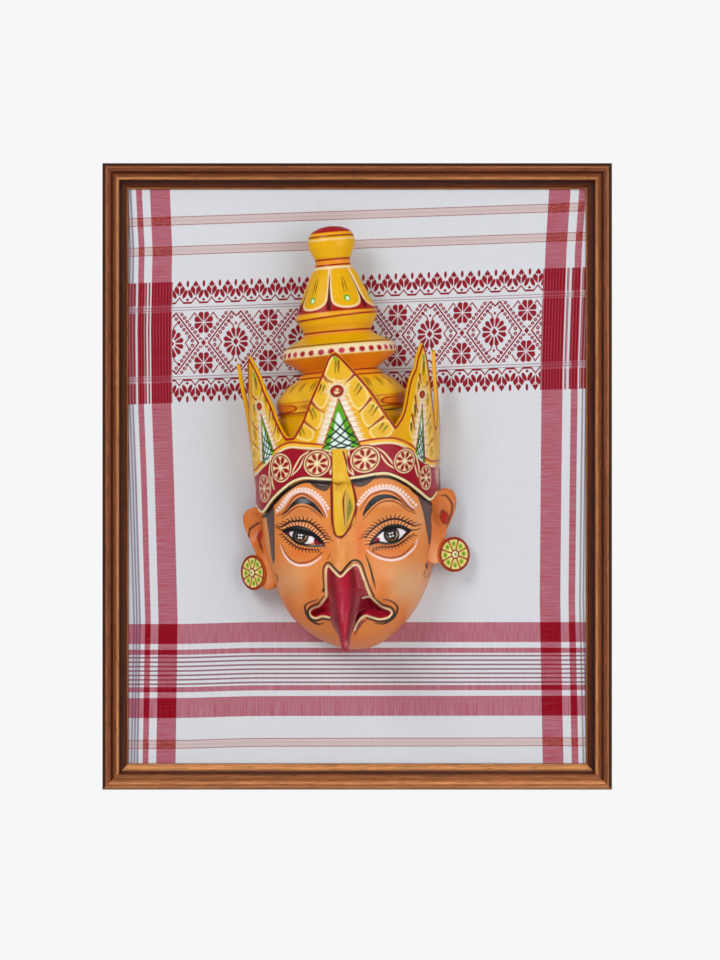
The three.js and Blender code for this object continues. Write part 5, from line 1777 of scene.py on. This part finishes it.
def addTower():
    profile = np.array(tower["profile"], float)
    marks = lengths(profile)
    front, rows = tower["columns"], tower["rows"]
    columns, frontArc = front + tower["rearColumns"], tower["frontArc"]

    def place(column, row):
        along = row / rows * marks[-1]
        near = [along + shift for shift in (-1.2, -0.6, 0, 0.6, 1.2)]
        high, radius = [np.mean([np.interp(at, marks, part) for at in near], axis=0) for part in profile.T]
        high = np.where((row <= 1) | (row >= rows - 1), np.interp(along, marks, profile[:, 0]), high)
        radius = np.where((row == 0) | (row == rows), 0, radius)
        turn = np.radians(np.interp(column, (0, front, columns), (-frontArc, frontArc, 360 - frontArc)))
        # Petals with grooves between them, a row of beads and carved bars
        pitch = math.tau / tower["petals"]
        aside = np.abs((turn - math.radians(tower["firstPetal"]) + pitch / 2) % pitch - pitch / 2)
        petal = smooth((high - tower["petalFoot"]) / 5) * smooth((tower["petalTop"] - high) / 4)
        radius = radius - 1.5 * petal * bell((aside - pitch / 2) * radius / 1.8)
        radius = radius + 1.1 * petal * smooth(1 - aside / (pitch * 0.42))
        bars, flat = tower["bars"], tower["unrolled"] * turn
        across = (flat - tower["firstBar"] + bars / 2) % bars - bars / 2
        radius = radius + 1.6 * smooth(1.3 - np.hypot(across / 12, (high - tower["beltHeight"]) / 5))
        beads = smooth(1 - np.abs(high - tower["beadHeight"]) / 4) * np.sin(tower["beads"] / 2 * turn) ** 2
        radius = radius + 0.5 * beads
        x, y = radius * np.sin(turn), -tower["axisDepth"] - radius * np.cos(turn) * tower["depthShare"]
        return hang(x, np.minimum(y, 0), high + tower["tilt"] * x), flat, high

    mesh, _, flat, high = gridMesh("crown_tower_painted", columns, rows, place)
    paint = Paint(flat, high, "yellow", 0.9, 0.34)
    paintTower(paint)
    finishPainted(mesh, paint, crownMaterial, "painted_crown", "crown_tower")


def paintTower(paint):
    turns = np.radians(np.linspace(-110, 260, 60))
    start, end = tower["unrolled"] * turns[0], tower["unrolled"] * turns[-1]

    def band(high, width, colour, tilt=0.0):
        line = np.column_stack([tower["unrolled"] * turns, high + tilt * np.sin(turns)])
        paint.stroke(line, width, colour, rounded=False)

    for low, high, colour, edge in tower["zones"]:
        paint.fill([(start, low), (end, low), (end, high), (start, high)], colour, rounded=False, edge=edge)
    pitch = math.tau / tower["petals"]
    for k in range(tower["petals"]):
        x = tower["unrolled"] * (math.radians(tower["firstPetal"]) + pitch * k)
        if not start < x < end:
            continue
        wide = tower["unrolled"] * pitch / 2
        half = [(0.9, 351), (0.91, 335), (0.87, 319), (0.74, 309), (0.42, 304.4)]
        outline = [(x - wide * share, high) for share, high in half] + [(x, 303)]
        outline += [(x + wide * share, high) for share, high in half[::-1]]
        paint.stroke([(x - wide, 303), (x - wide, 325), (x - wide, 350)], [5.4, 3.2, 0.8], (92, 8, 8))
        paint.fill(outline, "yellow")
        paint.stroke(outline, 2.4, (246, 218, 168))
        paint.dot(x, 314, 3.7, 4.1, "green", 0.3)
        # A painted highlight on the green dot
        paint.dot(x + 0.4, 313.4, 2.0, 2.3, (236, 248, 226), 0.25)
        for side in (-1, 1):
            paint.stroke([(x + side * 1.6, 340), (x + side * 1.9, 330), (x + side * 2.0, 321)], [0.8, 1.8, 0.7],
                         (124, 84, 12))
    for high, width, colour in tower["bands"]:
        band(high, width, colour)
    band(293, 2.4, (160, 18, 10), 2.2)
    for k in range(tower["beads"]):
        x = tower["unrolled"] * (math.radians(-106) + math.tau * (k + 0.5) / tower["beads"])
        paint.dot(x, tower["beadHeight"], 2.3, 3.3, (168, 10, 34) if k % 5 else (206, 60, 90), 0.25)
    for k in range(24):
        x = start + tower["unrolled"] * math.tau / 24 * (k + 0.5)
        for side in (-0.8, 0.8):
            paint.stroke([(x + side, 217), (x + side * 1.3, 212), (x + side * 1.2, 206)], [0.6, 1.2, 0.5],
                         (118, 74, 12))
    # Low belt of carved bars
    band(193.6, 1.2, (190, 84, 20))
    for k in range(-1, 3):
        x, middle = tower["firstBar"] + tower["bars"] * k, tower["beltHeight"]
        bar = [(x - 13, middle), (x - 9, 190.6), (x + 9, 190.6), (x + 13, middle), (x + 9, 183.2), (x - 9, 183.2)]
        paint.fill(bar, (236, 140, 34), 0.3)
        paint.stroke(bar, 1.8, (176, 40, 12), closed=True)
        for side in (-21, 21):
            paint.glow(x + side, middle, 5, 4, (200, 96, 20), 0.8)
    band(181, 1.6, (176, 36, 10))


crownMaterial = paintedMaterial("painted_crown", 0.2, (1, 1, 0.4), 0.22)
beakMaterial = paintedMaterial("lacquered_beak", 0.14, (1.2, 1.2, 0.2), 0.4)
addBeak()
addEar(-1, "ear_left")
addEar(1, "ear_right")
addStrip()
addEarring(-1, "earring_left")
addEarring(1, "earring_right")
addCollar()
addTower()
print("mask ready")
